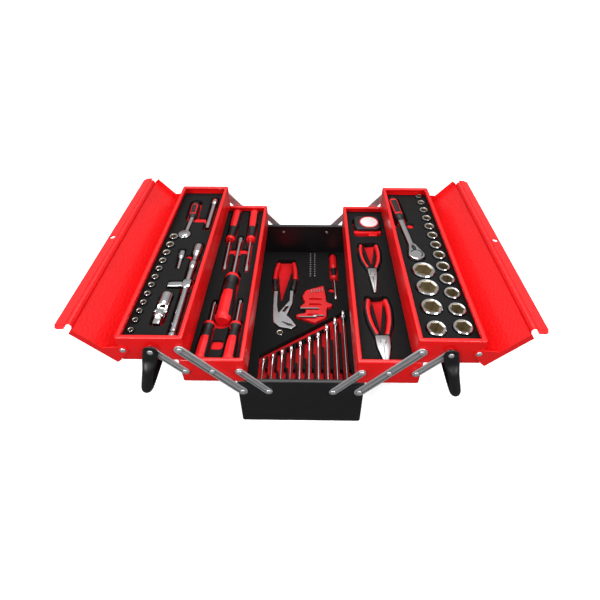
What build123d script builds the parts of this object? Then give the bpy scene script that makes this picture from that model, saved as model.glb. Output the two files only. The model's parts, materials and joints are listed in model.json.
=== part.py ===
from build123d import *
import os
from dataclasses import dataclass
from math import atan2, cos, degrees, hypot, pi, radians, sin, sqrt

# Cantilever tool case with five trays, standing open with its tools in place.
# Millimetres, +Z up. X is the way the trays spread, Y is the long way, and the front is at -Y.
# The origin is the middle of the bottom tray's underside.
# Each half of the mechanism is drawn on the +X side, and the other half is its mirror image.

# Trays, all folded from the same sheet
LENGTH = 430.0
SHEET = 1.0
BOTTOM_WIDTH = 200.0
BOTTOM_HEIGHT = 108.0
TRAY_WIDTH = 98.0
MIDDLE_HEIGHT = 50.0
UPPER_HEIGHT = 48.0
MIDDLE_INNER_X = 85.0
TRAY_STEP = 83.0
STACK_GAP = 1.0
FOLD_RADIUS = 3.0
RIM_WIDTH = 7.0
RIM_LIP = 4.0

# Linkage on the trays' end walls
LINK_PITCH = 64.5
LINK_SPACING = 41.0
LINK_THICKNESS = 2.5
LONG_LINK_WIDTH = 16.0
SHORT_LINK_WIDTH = 13.0
GROOVE_WIDTH = 4.5
GROOVE_DEPTH = 0.8
GROOVE_MARGIN = 10.0
FIRST_PIVOT_X = 92.0
FIRST_PIVOT_Z = 86.5
LINK_GAP = 0.5

# Rivets
SHANK_RADIUS = 2.5
SHANK_SIDES = 8
RUNNING_CLEARANCE = 0.08
HEAD_RADIUS = 4.4
HEAD_TAPER = 35.0
HEAD_HEIGHT = 1.8
HEAD_GAP = 0.1

# Lids, in coordinates from their hinge when shut: across towards the middle of the case, and up
LID_OPEN_ANGLE = 131.0
LID_HINGE_INSET = 8.0
LID_HINGE_HEIGHT = 22.5
LID_END_GAP = 0.3
LID_LIP = (-11.5, 21.0)
LID_CORNER = (-11.5, 28.5)
LID_PANEL_EDGE = (71.0, 28.5)
LID_STEP = (73.5, 24.3)
LID_TROUGH = (78.0, 23.6)
LID_FLANGE_TIP = (89.6, 39.2)
LID_BEND_RADIUS = 2.2
LID_END_DEPTH = 10.0
LID_EAR_RADIUS = 7.5
LID_EAR_START = 22.4
LID_NOTCH = 9.8
FLANGE_CORNER = (6.0, 7.0)
PADLOCK_RADIUS = 4.4
# Where the flange runs the whole length, where its second layer begins, and its padlock hole
FLANGE_HEIGHTS = (26.3, 27.5, 33.2)

# Carrying handles, bent from tube and flattened at their ends, a little clear of the links
HANDLE_GAP = 1.2
HANDLE_TUBE_RADIUS = 8.0
HANDLE_REACH = 100.0
HANDLE_BEND = 28.0
HANDLE_BEND_STEPS = 4
HANDLE_FLAT = 3.0
HANDLE_FLAT_RADIUS = 11.0
HANDLE_FLAT_END = 18.0
HANDLE_ROUND_START = 40.0
HANDLE_HANG_ANGLE = 15.0

# Foam beds: a black sheet with cut-outs over a red one
FOAM_SHEET = 12.0
FOAM_GAP = 0.5
BOTTOM_FOAM = 28.0
MIDDLE_FOAM = 37.0
UPPER_FOAM = 31.0

# Sockets and the pockets round them
POCKET_GAP = 0.8
SOCKET_MOUTH = 0.8
SOCKET_DEPTH = 0.6
SMALL_SOCKET_LENGTH = 25.0
LARGE_SOCKET_LENGTH = 34.0
SOCKET_PROUD = 4.0

# What repeats often is drawn with flats in place of a true round, to keep the model light
ROUND_SIDES = 12
WIDE_ROUND_SIDES = 20
WIDE_ROUND = 10.0

# Places that follow from these
HALF_LENGTH = LENGTH / 2
MIDDLE_OUTER_X = MIDDLE_INNER_X + TRAY_WIDTH
UPPER_INNER_X = MIDDLE_INNER_X + TRAY_STEP
UPPER_OUTER_X = UPPER_INNER_X + TRAY_WIDTH
MIDDLE_FLOOR = BOTTOM_HEIGHT + STACK_GAP
UPPER_FLOOR = MIDDLE_FLOOR + MIDDLE_HEIGHT + STACK_GAP
LINK_RUN = TRAY_STEP / 2
LINK_RISE = sqrt(LINK_PITCH**2 - LINK_RUN**2)
LINK_ANGLE = degrees(atan2(LINK_RISE, LINK_RUN))
LINK_Y = HALF_LENGTH + LINK_GAP
HEAD_Y = LINK_Y + LINK_THICKNESS + HEAD_GAP
LID_END_Y = HALF_LENGTH + LID_END_GAP + SHEET
HANDLE_Y = LINK_Y + LINK_THICKNESS + HANDLE_GAP
TUBE_Y = HANDLE_Y + HANDLE_TUBE_RADIUS


def step_out(point, steps=1, across=0.0):
    """A pivot that lies whole link lengths further up the linkage, or across from another."""
    return (point[0] + steps * LINK_RUN + across, point[1] + steps * LINK_RISE)


LONG_BOTTOM = (FIRST_PIVOT_X, FIRST_PIVOT_Z)
LONG_MIDDLE = step_out(LONG_BOTTOM)
LONG_TOP = step_out(LONG_BOTTOM, 2)
LOWER_BOTTOM = step_out(LONG_BOTTOM, 0, -LINK_SPACING)
LOWER_TOP = step_out(LONG_BOTTOM, 1, -LINK_SPACING)
UPPER_BOTTOM = step_out(LONG_BOTTOM, 1, LINK_SPACING)
UPPER_TOP = step_out(LONG_BOTTOM, 2, LINK_SPACING)
LID_HINGE = (UPPER_OUTER_X - LID_HINGE_INSET, UPPER_FLOOR + LID_HINGE_HEIGHT)


@dataclass
class Bay:
    """The bed of one tray. Places across it are measured in from the tray's outer edge."""

    side: int
    outer: float
    floor: float
    foam: float

    def x(self, inward):
        return self.side * (self.outer - inward)

    @property
    def top(self):
        return self.floor + self.foam

    @property
    def liner_top(self):
        return self.top - FOAM_SHEET

    @property
    def liner_floor(self):
        return self.floor + SHEET

    def point(self, inward, y, height):
        """A point at a height above the red foam, on which the tools lie."""
        return (self.x(inward), y, self.liner_top + height)


# The bottom bay is measured from the middle of the case
BOTTOM_BAY = Bay(-1, 0.0, 0.0, BOTTOM_FOAM)
LEFT_MIDDLE_BAY = Bay(-1, MIDDLE_OUTER_X, MIDDLE_FLOOR, MIDDLE_FOAM)
RIGHT_MIDDLE_BAY = Bay(1, MIDDLE_OUTER_X, MIDDLE_FLOOR, MIDDLE_FOAM)
LEFT_UPPER_BAY = Bay(-1, UPPER_OUTER_X, UPPER_FLOOR, UPPER_FOAM)
RIGHT_UPPER_BAY = Bay(1, UPPER_OUTER_X, UPPER_FLOOR, UPPER_FOAM)


# Basic shapes


def block(x, y, z):
    """A block between three pairs of limits."""
    (x0, x1), (y0, y1), (z0, z1) = sorted(x), sorted(y), sorted(z)
    return Pos(x0, y0, z0) * Box(x1 - x0, y1 - y0, z1 - z0, align=(Align.MIN,) * 3)


def post(x, y, z0, z1, radius):
    """An upright round piece, drawn with flats."""
    return Pos(x, y, z0) * extrude(flatted(radius), z1 - z0)


def plate(outline, z0, z1):
    """A flat piece with a level outline."""
    return Pos(0, 0, z0) * extrude(outline, z1 - z0)


def polygon(points):
    return make_face(Polyline(*points, close=True))


def end_plate(outline, y0, y1):
    """A flat piece on the front end, from an outline of X and Z, between two distances from the middle."""
    front = Plane(origin=(0, -y0, 0), x_dir=(1, 0, 0), z_dir=(0, -1, 0))
    return extrude(front * outline, y1 - y0)


def flatted(radius, sides=ROUND_SIDES):
    """A round outline drawn with flats, its corners on the circle."""
    return RegularPolygon(radius, sides)


def shank_hole():
    """The outline of a hole whose flats clear a rivet's shank as it turns."""
    inner = SHANK_RADIUS + RUNNING_CLEARANCE
    return flatted(inner / cos(pi / SHANK_SIDES), SHANK_SIDES)


def rod(start, end, radius):
    """A round bar between two points, drawn with flats."""
    way = Vector(*end) - Vector(*start)
    return extrude(Plane(origin=start, z_dir=way) * flatted(radius), way.length)


def skin(rings, corners=4):
    """A solid closed by flats through rings of points, with four or three corners to each flat."""
    faces = [Face(Wire.make_polygon(ring)) for ring in (rings[0], rings[-1])]
    for low, high in zip(rings, rings[1:]):
        for i in range(len(low)):
            flat = [low[i - 1], low[i], high[i], high[i - 1]]
            pieces = [flat] if corners == 4 else [flat[:3], [flat[0], *flat[2:]]]
            faces += [Face(Wire.make_polygon(piece)) for piece in pieces]
    return Solid(Shell(faces))


def ring_points(plane, across, along, height=0.0, sides=ROUND_SIDES):
    """The corners of a round or oval drawn with flats, at a height over a plane."""
    turns = [2 * pi * i / sides for i in range(sides)]
    return [plane.from_local_coords((across * cos(turn), along * sin(turn), height)) for turn in turns]


def turned(start, end, stations, sides=ROUND_SIDES):
    """A piece turned about the line between two points, through radii at shares of its length."""
    way = Vector(*end) - Vector(*start)
    plane = Plane(origin=start, x_dir=(0, 0, 1), z_dir=way)
    return skin([ring_points(plane, radius, radius, share * way.length, sides) for share, radius in stations])


def parallel(points, distance):
    """The points of a line that runs to the right of an open outline, at a distance."""
    result = []
    for i, (x, y) in enumerate(points):
        before = points[max(i - 1, 0)]
        after = points[min(i + 1, len(points) - 1)]
        ways = []
        for (x0, y0), (x1, y1) in ((before, (x, y)), ((x, y), after)):
            long = hypot(x1 - x0, y1 - y0)
            if long:
                ways.append(((y1 - y0) / long, (x0 - x1) / long))
        nx = sum(way[0] for way in ways) / len(ways)
        ny = sum(way[1] for way in ways) / len(ways)
        scale = distance / (nx * nx + ny * ny)
        result.append((x + nx * scale, y + ny * scale))
    return result


def strip(points, width):
    """A bent strip of one width along a line."""
    left = parallel(points, -width / 2)
    right = parallel(points, width / 2)
    return polygon(left + right[::-1])


def group(pieces):
    """Separate solids that are one node."""
    solids = [solid for piece in pieces for solid in piece.solids()]
    return Compound(solids)


def both_ends(piece):
    return group([piece, mirror(piece, about=Plane.XZ)])


def save(name, piece):
    export_step(piece, f"parts/{name}.step")


def save_pair(name, piece):
    """Saves a piece of the right half and its mirror image on the left."""
    save(f"right_{name}", piece)
    save(f"left_{name}", mirror(piece, about=Plane.YZ))


# Trays


def inset_block(x0, x1, inset, z0, z1):
    """A block set in from a tray's outline on all four sides."""
    reach = HALF_LENGTH - inset
    return block((x0 + inset, x1 - inset), (-reach, reach), (z0, z1))


def tray(x0, x1, floor, height, holes):
    """An open box of sheet whose rim is folded in and down, with rivet holes in both ends."""
    top = floor + height
    corners = RectangleRounded(x1 - x0, LENGTH, FOLD_RADIUS)
    walls = plate(Pos((x0 + x1) / 2, 0) * corners, floor, top)
    walls -= inset_block(x0, x1, SHEET, floor + SHEET, top - SHEET)
    walls += inset_block(x0, x1, RIM_WIDTH - SHEET, top - RIM_LIP, top)
    walls -= inset_block(x0, x1, RIM_WIDTH, floor + SHEET, top)
    for pivot in holes:
        hole = end_plate(Pos(*pivot) * shank_hole(), HALF_LENGTH - 2 * SHEET, HALF_LENGTH)
        walls -= both_ends(hole)
    return walls


def bottom_tray():
    half = BOTTOM_WIDTH / 2
    return tray(-half, half, 0, BOTTOM_HEIGHT, [])


def middle_tray():
    return tray(MIDDLE_INNER_X, MIDDLE_OUTER_X, MIDDLE_FLOOR, MIDDLE_HEIGHT, [])


def upper_tray():
    """The rivets of the handle turn in its end walls."""
    return tray(UPPER_INNER_X, UPPER_OUTER_X, UPPER_FLOOR, UPPER_HEIGHT, [UPPER_TOP])


# Linkage


def link(start, steps, width):
    """A flat bar with rounded ends, a hole for each rivet and a pressed groove between them."""
    length = steps * LINK_PITCH
    bar = Pos(length / 2, 0) * SlotCenterToCenter(length, width)
    bar -= shank_hole()
    bar -= Pos(length, 0) * shank_hole()
    if steps > 1:
        bar -= Pos(LINK_PITCH, 0) * Circle(SHANK_RADIUS + RUNNING_CLEARANCE)
    turn = Pos(*start) * Rot(0, 0, LINK_ANGLE)
    face = LINK_Y + LINK_THICKNESS
    solid = end_plate(turn * bar, LINK_Y, face)
    groove = Rectangle(LINK_PITCH - 2 * GROOVE_MARGIN, GROOVE_WIDTH)
    for step in range(steps):
        place = turn * Pos((step + 0.5) * LINK_PITCH, 0)
        solid -= end_plate(place * groove, face - GROOVE_DEPTH, face)
    return both_ends(solid)


def rivet(pivot, head_y, foot_y=HALF_LENGTH):
    """A rivet with its shank from foot_y and a low tapered head whose underside is at head_y."""
    shank = end_plate(Pos(*pivot) * flatted(SHANK_RADIUS, SHANK_SIDES), foot_y, head_y)
    edge = Pos(*pivot) * flatted(HEAD_RADIUS, SHANK_SIDES)
    front = Plane(origin=(0, -head_y, 0), x_dir=(1, 0, 0), z_dir=(0, -1, 0))
    return both_ends(shank + extrude(front * edge, HEAD_HEIGHT, taper=HEAD_TAPER))


def bottom_tray_rivets():
    right = [rivet(pivot, HEAD_Y) for pivot in (LONG_BOTTOM, LOWER_BOTTOM)]
    return group(right + [mirror(piece, about=Plane.YZ) for piece in right])


def middle_tray_rivets():
    return group(rivet(pivot, HEAD_Y) for pivot in (LONG_MIDDLE, LOWER_TOP, UPPER_BOTTOM))


def upper_tray_rivets():
    return rivet(LONG_TOP, HEAD_Y)


def lid_rivets():
    return rivet(LID_HINGE, LID_END_Y + HEAD_GAP)


def handle_rivets():
    """These hold the end of the upper links and the handle, and turn in the tray."""
    return rivet(UPPER_TOP, HANDLE_Y + HANDLE_FLAT + HEAD_GAP, HALF_LENGTH - SHEET)


# Lids


def bent_sheet(points, radius):
    """A strip of sheet of one thickness, bent along an outline of its outer face."""
    inner = parallel(points, SHEET)
    outer_line = FilletPolyline(*points, radius=radius)
    inner_line = FilletPolyline(*inner, radius=radius)
    ends = [Line(points[0], inner[0]), Line(points[-1], inner[-1])]
    return make_face(outer_line.edges() + inner_line.edges() + ends)


def along_case(section, half):
    """A lid section carried along the case, as far each way from the middle."""
    return extrude(Plane.XZ * section, half, both=True)


def lid_end():
    """The lid's end flange, with the ear that turns on the hinge rivet."""
    low = LID_CORNER[1] - LID_END_DEPTH
    start = (LID_EAR_START, low)
    touch = [tangent_point(start, 1), tangent_point(LID_LIP, -1)]
    outline = [LID_LIP, LID_CORNER, LID_PANEL_EDGE, (LID_PANEL_EDGE[0], low), start, *touch]
    face = polygon(outline) + Circle(LID_EAR_RADIUS)
    face -= shank_hole()
    near = HALF_LENGTH + LID_END_GAP
    return both_ends(end_plate(face, near, near + SHEET))


def tangent_point(point, turn):
    """Where a line from a point touches the round end of the ear."""
    distance = hypot(*point)
    spread = turn * degrees_acos(LID_EAR_RADIUS / distance)
    angle = radians(degrees(atan2(point[1], point[0])) - spread)
    return (LID_EAR_RADIUS * cos(angle), LID_EAR_RADIUS * sin(angle))


def degrees_acos(ratio):
    return degrees(atan2(sqrt(1 - ratio * ratio), ratio))


def lid_flange():
    """The locking flange along the lid's free edge: two layers, clipped corners and a padlock hole."""
    way = Vector(LID_FLANGE_TIP[0] - LID_TROUGH[0], 0, LID_FLANGE_TIP[1] - LID_TROUGH[1])
    foot = Vector(LID_TROUGH[0], 0, LID_TROUGH[1])
    face = Plane(origin=foot, x_dir=way, z_dir=(way.Z, 0, -way.X))
    start, hem, hole = ((height - foot.Z) * way.length / way.Z for height in FLANGE_HEIGHTS)
    cut, run = FLANGE_CORNER
    low = [(start, HALF_LENGTH), (way.length - cut, HALF_LENGTH), (way.length - cut / 3, HALF_LENGTH - run / 3)]
    low.append((way.length, HALF_LENGTH - run))
    layer = extrude(face * polygon(low + [(x, -y) for x, y in reversed(low)]), SHEET)
    turned_in = Rectangle(way.length - hem, LENGTH - 2 * run, align=(Align.MAX, Align.CENTER))
    layer += extrude(face.offset(SHEET) * Pos(way.length, 0) * turned_in, SHEET)
    bore = extrude(face * Pos(hole, 0) * Circle(PADLOCK_RADIUS), 2 * SHEET)
    return layer, bore


def lid():
    """A lid as it lies shut, then turned open about its hinge."""
    outer = [LID_LIP, LID_CORNER, LID_PANEL_EDGE, LID_STEP, LID_TROUGH, LID_FLANGE_TIP]
    sheet = along_case(bent_sheet(outer, LID_BEND_RADIUS), LID_END_Y)
    beyond = (LID_PANEL_EDGE[0], 2 * LID_PANEL_EDGE[0])
    reach = (LID_END_Y - LID_NOTCH, LID_END_Y)
    notch = block(beyond, reach, (0, 2 * LID_FLANGE_TIP[1]))
    sheet -= both_ends(notch)
    layer, bore = lid_flange()
    shut = sheet + layer + lid_end() - bore
    opened = Rot(0, LID_OPEN_ANGLE, 0) * mirror(shut, about=Plane.YZ)
    return Pos(LID_HINGE[0], 0, LID_HINGE[1]) * opened


# Handles


def handle_path():
    """The middle line of the tube: down one leg, along the grip and up the other leg."""
    corner = HANDLE_REACH - HANDLE_BEND
    bend = [radians(step * 90 / HANDLE_BEND_STEPS) for step in range(HANDLE_BEND_STEPS + 1)]
    leg = [(TUBE_Y - HANDLE_BEND * (1 - cos(turn)), -corner - HANDLE_BEND * sin(turn)) for turn in bend]
    front = [(TUBE_Y, -HANDLE_ROUND_START), *leg]
    back = [(-y, z) for y, z in reversed(front)]
    return [(0, -y, z) for y, z in front + back]


def handle():
    """A bail of tube, drawn hanging straight down and then swung out to where it rests."""
    path = handle_path()
    foot = Plane(origin=path[0], x_dir=(1, 0, 0), z_dir=(0, 0, -1))
    section = foot * flatted(HANDLE_TUBE_RADIUS)
    tube = sweep(section, Polyline(*path), transition=Transition.RIGHT)
    flat_y = HANDLE_Y + HANDLE_FLAT / 2
    below = Plane(origin=(0, -flat_y, -HANDLE_FLAT_END), x_dir=(1, 0, 0), z_dir=(0, 0, -1))
    squashed = ring_points(below, HANDLE_FLAT_RADIUS, HANDLE_FLAT / 2)
    taper = skin([squashed, ring_points(foot, HANDLE_TUBE_RADIUS, HANDLE_TUBE_RADIUS)], corners=3)
    tongue = Pos(0, -HANDLE_FLAT_END / 2) * Rectangle(2 * HANDLE_FLAT_RADIUS, HANDLE_FLAT_END)
    tongue += Circle(HANDLE_FLAT_RADIUS)
    tongue -= shank_hole()
    flat = end_plate(tongue, HANDLE_Y, HANDLE_Y + HANDLE_FLAT)
    hanging = tube + both_ends(taper) + both_ends(flat)
    swung = Rot(0, -HANDLE_HANG_ANGLE, 0) * hanging
    return Pos(UPPER_TOP[0], 0, UPPER_TOP[1]) * swung


# Foam


def foam_bed(bay, x0, x1, z0, z1, pockets):
    """One sheet of foam in a tray, less pockets given by limits across and along and by a depth."""
    gap = SHEET + FOAM_GAP
    reach = HALF_LENGTH - gap
    bed = block((x0 + gap, x1 - gap), (-reach, reach), (z0, z1))
    for (across0, across1), along, depth in pockets:
        bed -= block((bay.x(across0), bay.x(across1)), along, (z1 - depth, z1))
    return bed


def save_foam(name, bay, edges, pockets, wells=()):
    """Saves a tray's black foam with its pockets, and the red foam under it with its deeper wells."""
    x0, x1 = sorted(edges)
    through = [(across, along, FOAM_SHEET) for across, along in pockets]
    save(f"{name}_foam", foam_bed(bay, x0, x1, bay.liner_top, bay.top, through))
    save(f"{name}_foam_liner", foam_bed(bay, x0, x1, bay.liner_floor, bay.liner_top, wells))


def around(inward, y, radius):
    """A square pocket round an upright piece."""
    reach = radius + POCKET_GAP
    return ((inward - reach, inward + reach), (y - reach, y + reach))


# Tools that stand upright


def socket(bay, inward, y, diameter, top, length):
    """A socket with its mouth upwards, and a six-sided recess in it."""
    x = bay.x(inward)
    sides = ROUND_SIDES if diameter > 2 * WIDE_ROUND else SHANK_SIDES
    body = flatted(diameter / 2, sides)
    mouth = RegularPolygon(SOCKET_MOUTH * diameter / 2, 6)
    high = bay.top + top
    solid = Pos(x, y, high - length) * extrude(body, length)
    depth = SOCKET_DEPTH * length
    return solid - Pos(x, y, high - depth) * extrude(mouth, depth)


def socket_row(bay, row, top, length):
    return group(socket(bay, inward, y, diameter, top, length) for inward, y, diameter in row)


def socket_pockets(row):
    return [around(inward, y, diameter / 2) for inward, y, diameter in row]


# Rows of sockets: in from the tray's outer edge, along the case, and outer diameter
SMALL_ROW = [
    (17.6, 48, 16.0),
    (17.0, 23, 15.5),
    (16.5, -1, 14.0),
    (16.0, -24, 13.0),
    (15.5, -46, 12.0),
    (15.0, -68, 11.5),
    (14.5, -88, 11.0),
    (14.1, -109, 10.5),
    (13.7, -129, 10.0),
    (13.3, -148, 9.5),
    (12.9, -167, 9.0),
    (12.5, -187, 8.5),
]
MEDIUM_ROW = [
    (18.5, 203, 14.0),
    (18.5, 177, 15.0),
    (18.5, 148, 17.0),
    (18.5, 118, 18.0),
    (19.0, 89, 19.5),
    (19.0, 59, 20.5),
    (19.5, 29, 21.0),
    (19.5, -1, 23.0),
    (20.0, -33, 24.5),
    (20.5, -66, 26.0),
    (20.5, -100, 26.5),
    (21.5, -137, 28.0),
    (22.0, -174, 30.0),
]
LARGE_ROW = [
    (56.0, -43, 40.0),
    (58.0, -87, 38.0),
    (60.5, -132, 34.5),
    (63.0, -177, 30.0),
]


def row_well(row, margin, depth):
    """One deep well under a whole row of sockets."""
    across = [inward for inward, _, _ in row]
    along = [y for _, y, _ in row]
    limits = [(min(values) - margin, max(values) + margin) for values in (across, along)]
    return (*limits, depth)


# Left upper tray: the small drive set


def small_ratchet():
    """The steel of a small ratchet: a shank and a round head."""
    bay = LEFT_UPPER_BAY
    shank = rod(bay.point(37, 116, 9), bay.point(35.5, 62, 9), 4.5)
    return shank + post(bay.x(35), 59, bay.liner_top, bay.liner_top + 15, 12)


def small_ratchet_grip():
    bay = LEFT_UPPER_BAY
    stations = [(0.02, 6), (0.15, 8.5), (0.75, 9), (1, 6)]
    return turned(bay.point(37, 116, 9), bay.point(34, 172, 9), stations)


def extension_bars():
    """Two extensions with a socket end each, and a small tapered adapter."""
    bay = LEFT_UPPER_BAY
    short_stations = [(0, 7.5), (0.14, 7.5), (0.19, 5.5), (1, 6)]
    short = turned(bay.point(72, 188, 7.5), bay.point(74, 82, 7.5), short_stations)
    adapter_stations = [(0, 6.5), (0.35, 6.5), (0.42, 4), (1, 3)]
    adapter = turned(bay.point(43, 8, 6.5), bay.point(46, -39, 6.5), adapter_stations)
    long_stations = [(0, 9), (0.24, 9), (0.34, 5.5), (0.5, 7.5), (0.65, 6.5), (1, 5.5)]
    long_end = bay.point(71.5, T_BAR_BLOCK[1] + 0.3, 9)
    long = turned(bay.point(71, 23, 9), long_end, long_stations)
    return group([short, adapter, long])


T_BAR_BLOCK = (-92, -74)


def sliding_t_bar():
    """A bar with an end stop, and a block with a square drive that slides on it."""
    bay = LEFT_UPPER_BAY
    low = bay.liner_top
    bar = rod(bay.point(72, T_BAR_BLOCK[1] - 2, 8), bay.point(75, -200, 8), 6)
    bar += rod(bay.point(75, -190, 8), bay.point(75, -202, 8), 7.5)
    sliding = block((bay.x(58), bay.x(86)), T_BAR_BLOCK, (low, low + 16))
    drive = block((bay.x(41), bay.x(58)), (-89, -77), (low + 2, low + 13))
    return bar + sliding + drive


def universal_joint():
    """A round body, a fork, a yoke across it and a square drive."""
    bay = LEFT_UPPER_BAY
    x = bay.x(46)
    middle = bay.liner_top + 10
    body = rod((x, -108, middle), (x, -134, middle), 10)
    tines = [block((x + side * 4, x + side * 9), (-149, -134), (middle - 7, middle + 7)) for side in (-1, 1)]
    yoke = block((x - 4, x + 4), (-155, -138), (middle - 7, middle + 7))
    collar = rod((x, -151, middle), (x, -159, middle), 10)
    drive = block((x - 6, x + 6), (-174, -159), (middle - 6, middle + 6))
    return body + tines + yoke + collar + drive


# Right upper tray: the large drive set


def large_ratchet():
    """The steel of a large ratchet: a flat shank, a pear-shaped head, and its reversing lever."""
    bay = RIGHT_UPPER_BAY
    low, high = bay.liner_top, bay.liner_top + 18
    head = (61, -2)
    shank = polygon([(bay.x(inward), y) for inward, y in ((78, 112), (66, 112), (57, 20), (69, 16))])
    pear = make_hull(
        (Pos(bay.x(head[0]), head[1]) * flatted(15, WIDE_ROUND_SIDES)).edges()
        + (Pos(bay.x(63.5), 22) * flatted(7)).edges()
    )
    lever = Pos(bay.x(63), 16) * Rot(0, 0, 60) * SlotCenterToCenter(12, 6)
    return plate(shank, low + 6, high - 2) + plate(pear, low, high) + plate(lever, high, high + 2)


def large_ratchet_grip():
    bay = RIGHT_UPPER_BAY
    stations = [(0.03, 7), (0.12, 10), (0.8, 12), (0.94, 9), (1, 5)]
    return turned(bay.point(72.5, 112, 12), bay.point(80, 194, 12), stations)


# Left middle tray: five screwdrivers, each from the end of its handle to its tip

SCREWDRIVERS = [
    ((31, 210), (29, 101), (31, 10), 10.5, 2.6),
    ((69, 210), (72, 101), (74, 6), 10.5, 2.6),
    ((50, -124), (51, -10), (50, 112), 14.5, 3.6),
    ((28, -206), (30, -128), (29, -78), 10.5, 2.4),
    ((72, -206), (74, -128), (74, -73), 10.5, 2.4),
]
SCREWDRIVER_HEIGHT = 10.5
HANDLE_SIDES = 8


def screwdriver_blades():
    """Round blades whose tips are forged narrower."""
    bay = LEFT_MIDDLE_BAY
    blades = []
    for _, ferrule, tip, _, radius in SCREWDRIVERS:
        start = bay.point(*ferrule, SCREWDRIVER_HEIGHT)
        end = bay.point(*tip, SCREWDRIVER_HEIGHT)
        stations = [(0.01, radius), (0.9, radius), (1, 0.7 * radius)]
        blades.append(turned(start, end, stations, SHANK_SIDES))
    return group(blades)


def screwdriver_handles():
    """Handles with a swollen body, a thinner neck and a flared collar."""
    bay = LEFT_MIDDLE_BAY
    handles = []
    for end, ferrule, _, radius, _ in SCREWDRIVERS:
        stations = [(0, 0.7), (0.06, 1), (0.45, 0.95), (0.8, 0.68), (1, 0.95)]
        sized = [(share, width * radius) for share, width in stations]
        start = bay.point(*end, SCREWDRIVER_HEIGHT)
        handles.append(turned(start, bay.point(*ferrule, SCREWDRIVER_HEIGHT), sized, HANDLE_SIDES))
    return group(handles)


# Right middle tray: tape measure and two pliers


def tape_measure():
    """A squat case with a round bare face on top, a base and a hook at the front."""
    bay = RIGHT_MIDDLE_BAY
    x0, x1 = sorted((bay.x(22), bay.x(76)))
    middle = (x0 + x1) / 2
    outline = Pos(middle, 158) * RectangleRounded(x1 - x0, 48, 9)
    case = plate(outline, bay.liner_top, bay.top + 9)
    face = Pos(bay.x(45), 158) * flatted(19, WIDE_ROUND_SIDES)
    base = block((x0 - 2, x1 + 1), (128, 136), (bay.liner_top, bay.top + 2))
    hook = block((middle - 2, middle + 18), (121, 128), (bay.top - 2, bay.top))
    return case + plate(face, bay.top + 9, bay.top + 11) + base + hook


@dataclass
class Pliers:
    """Where a pair of pliers lies: a head outline, and the middle line of each grip."""

    head: list
    grips: list
    width: float
    pivot: tuple


LONG_NOSE = Pliers(
    [(61, 14), (44, 14), (44, 4), (45.5, -16), (51.5, -52), (56, -52), (59, -16), (61, 4)],
    [[(68, 90), (71, 66), (68, 36), (59, 11)], [(37, 90), (34.5, 66), (37, 36), (46, 11)]],
    9.5,
    (52.5, -2),
)
COMBINATION = Pliers(
    [(65, -152), (41, -152), (41.5, -175), (49, -204), (57, -204), (64, -176)],
    [[(68, -66), (72, -94), (69, -126), (60, -156)], [(38, -66), (34.5, -94), (37, -126), (45, -156)]],
    11.0,
    (53, -165),
)


def pliers_metal(pliers):
    """The jaws with their pivot, cut away where the grips begin."""
    bay = RIGHT_MIDDLE_BAY
    outline = polygon([(bay.x(inward), y) for inward, y in pliers.head])
    metal = plate(outline, bay.liner_top, bay.top + 2)
    metal += post(bay.x(pliers.pivot[0]), pliers.pivot[1], bay.top + 2, bay.top + 3, 5)
    return metal - pliers_grips(pliers)


def pliers_grips(pliers):
    bay = RIGHT_MIDDLE_BAY
    grips = []
    for line in pliers.grips:
        outline = strip([(bay.x(inward), y) for inward, y in line], pliers.width)
        grips.append(plate(outline, bay.liner_top, bay.top + 4))
    return group(grips)


# Bottom tray

WRENCH_PITCH = 17.0
WRENCH_FIRST_X = -72.5
WRENCH_FRONT_Y = -206.0
WRENCH_RING_Y = [-110, -101, -92, -85, -74, -63, -54, -36, -18, 0]
WRENCH_RING_RADII = (7.0, 13.0)
WRENCH_THICKNESS = (4.5, 7.0)
JAW_SHARE = 1.1


def wrench_size(index, limits):
    """A size that grows evenly over the set."""
    return limits[0] + (limits[1] - limits[0]) * index / (len(WRENCH_RING_Y) - 1)


def wrench(index):
    """A combination wrench on edge: a ring, a slim shaft and an open jaw, cut from one outline."""
    bay = BOTTOM_BAY
    ring_y = WRENCH_RING_Y[index]
    radius = wrench_size(index, WRENCH_RING_RADII)
    thickness = wrench_size(index, WRENCH_THICKNESS)
    x = WRENCH_FIRST_X + WRENCH_PITCH * index
    middle = bay.liner_top + JAW_SHARE * radius
    jaw_y = WRENCH_FRONT_Y + JAW_SHARE * radius
    ring = Pos(ring_y, middle) * flatted(radius, 8)
    shaft = Pos((ring_y + jaw_y) / 2, middle) * Rectangle(ring_y - jaw_y, 0.8 * radius)
    jaw = Pos(jaw_y, middle) * flatted(JAW_SHARE * radius, 8)
    outline = ring + shaft + jaw
    outline -= Pos(ring_y, middle) * RegularPolygon(0.66 * radius, 6)
    outline -= Pos(jaw_y - 0.8 * radius, middle) * Rectangle(1.6 * radius, 0.9 * radius)
    side = Plane(origin=(x - thickness / 2, 0, 0), x_dir=(0, 1, 0), z_dir=(1, 0, 0))
    return extrude(side * outline, thickness)


def combination_wrenches():
    return group(wrench(index) for index in range(len(WRENCH_RING_Y)))


def wrench_pockets():
    pockets = []
    for index, ring_y in enumerate(WRENCH_RING_Y):
        x = WRENCH_FIRST_X + WRENCH_PITCH * index
        pockets.append(((x - 6, x + 6), (WRENCH_FRONT_Y - 2, ring_y + 15)))
    return pockets


PUMP_HEAD = [
    (-65, 30), (-63, -4), (-61, -19), (-49, -31), (-23, -37),
    (-14, -27), (-26, -8), (-34, 1), (-24, 37), (-23, 74),
]
PUMP_INSIDE = [(-31, 74), (-31, 44), (-52, 8), (-56, 30), (-57, 72)]
PUMP_GRIPS = [[(-63, 73), (-66, 110), (-65, 140), (-60, 170)], [(-25, 75), (-21, 110), (-22, 140), (-27, 172)]]


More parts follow.
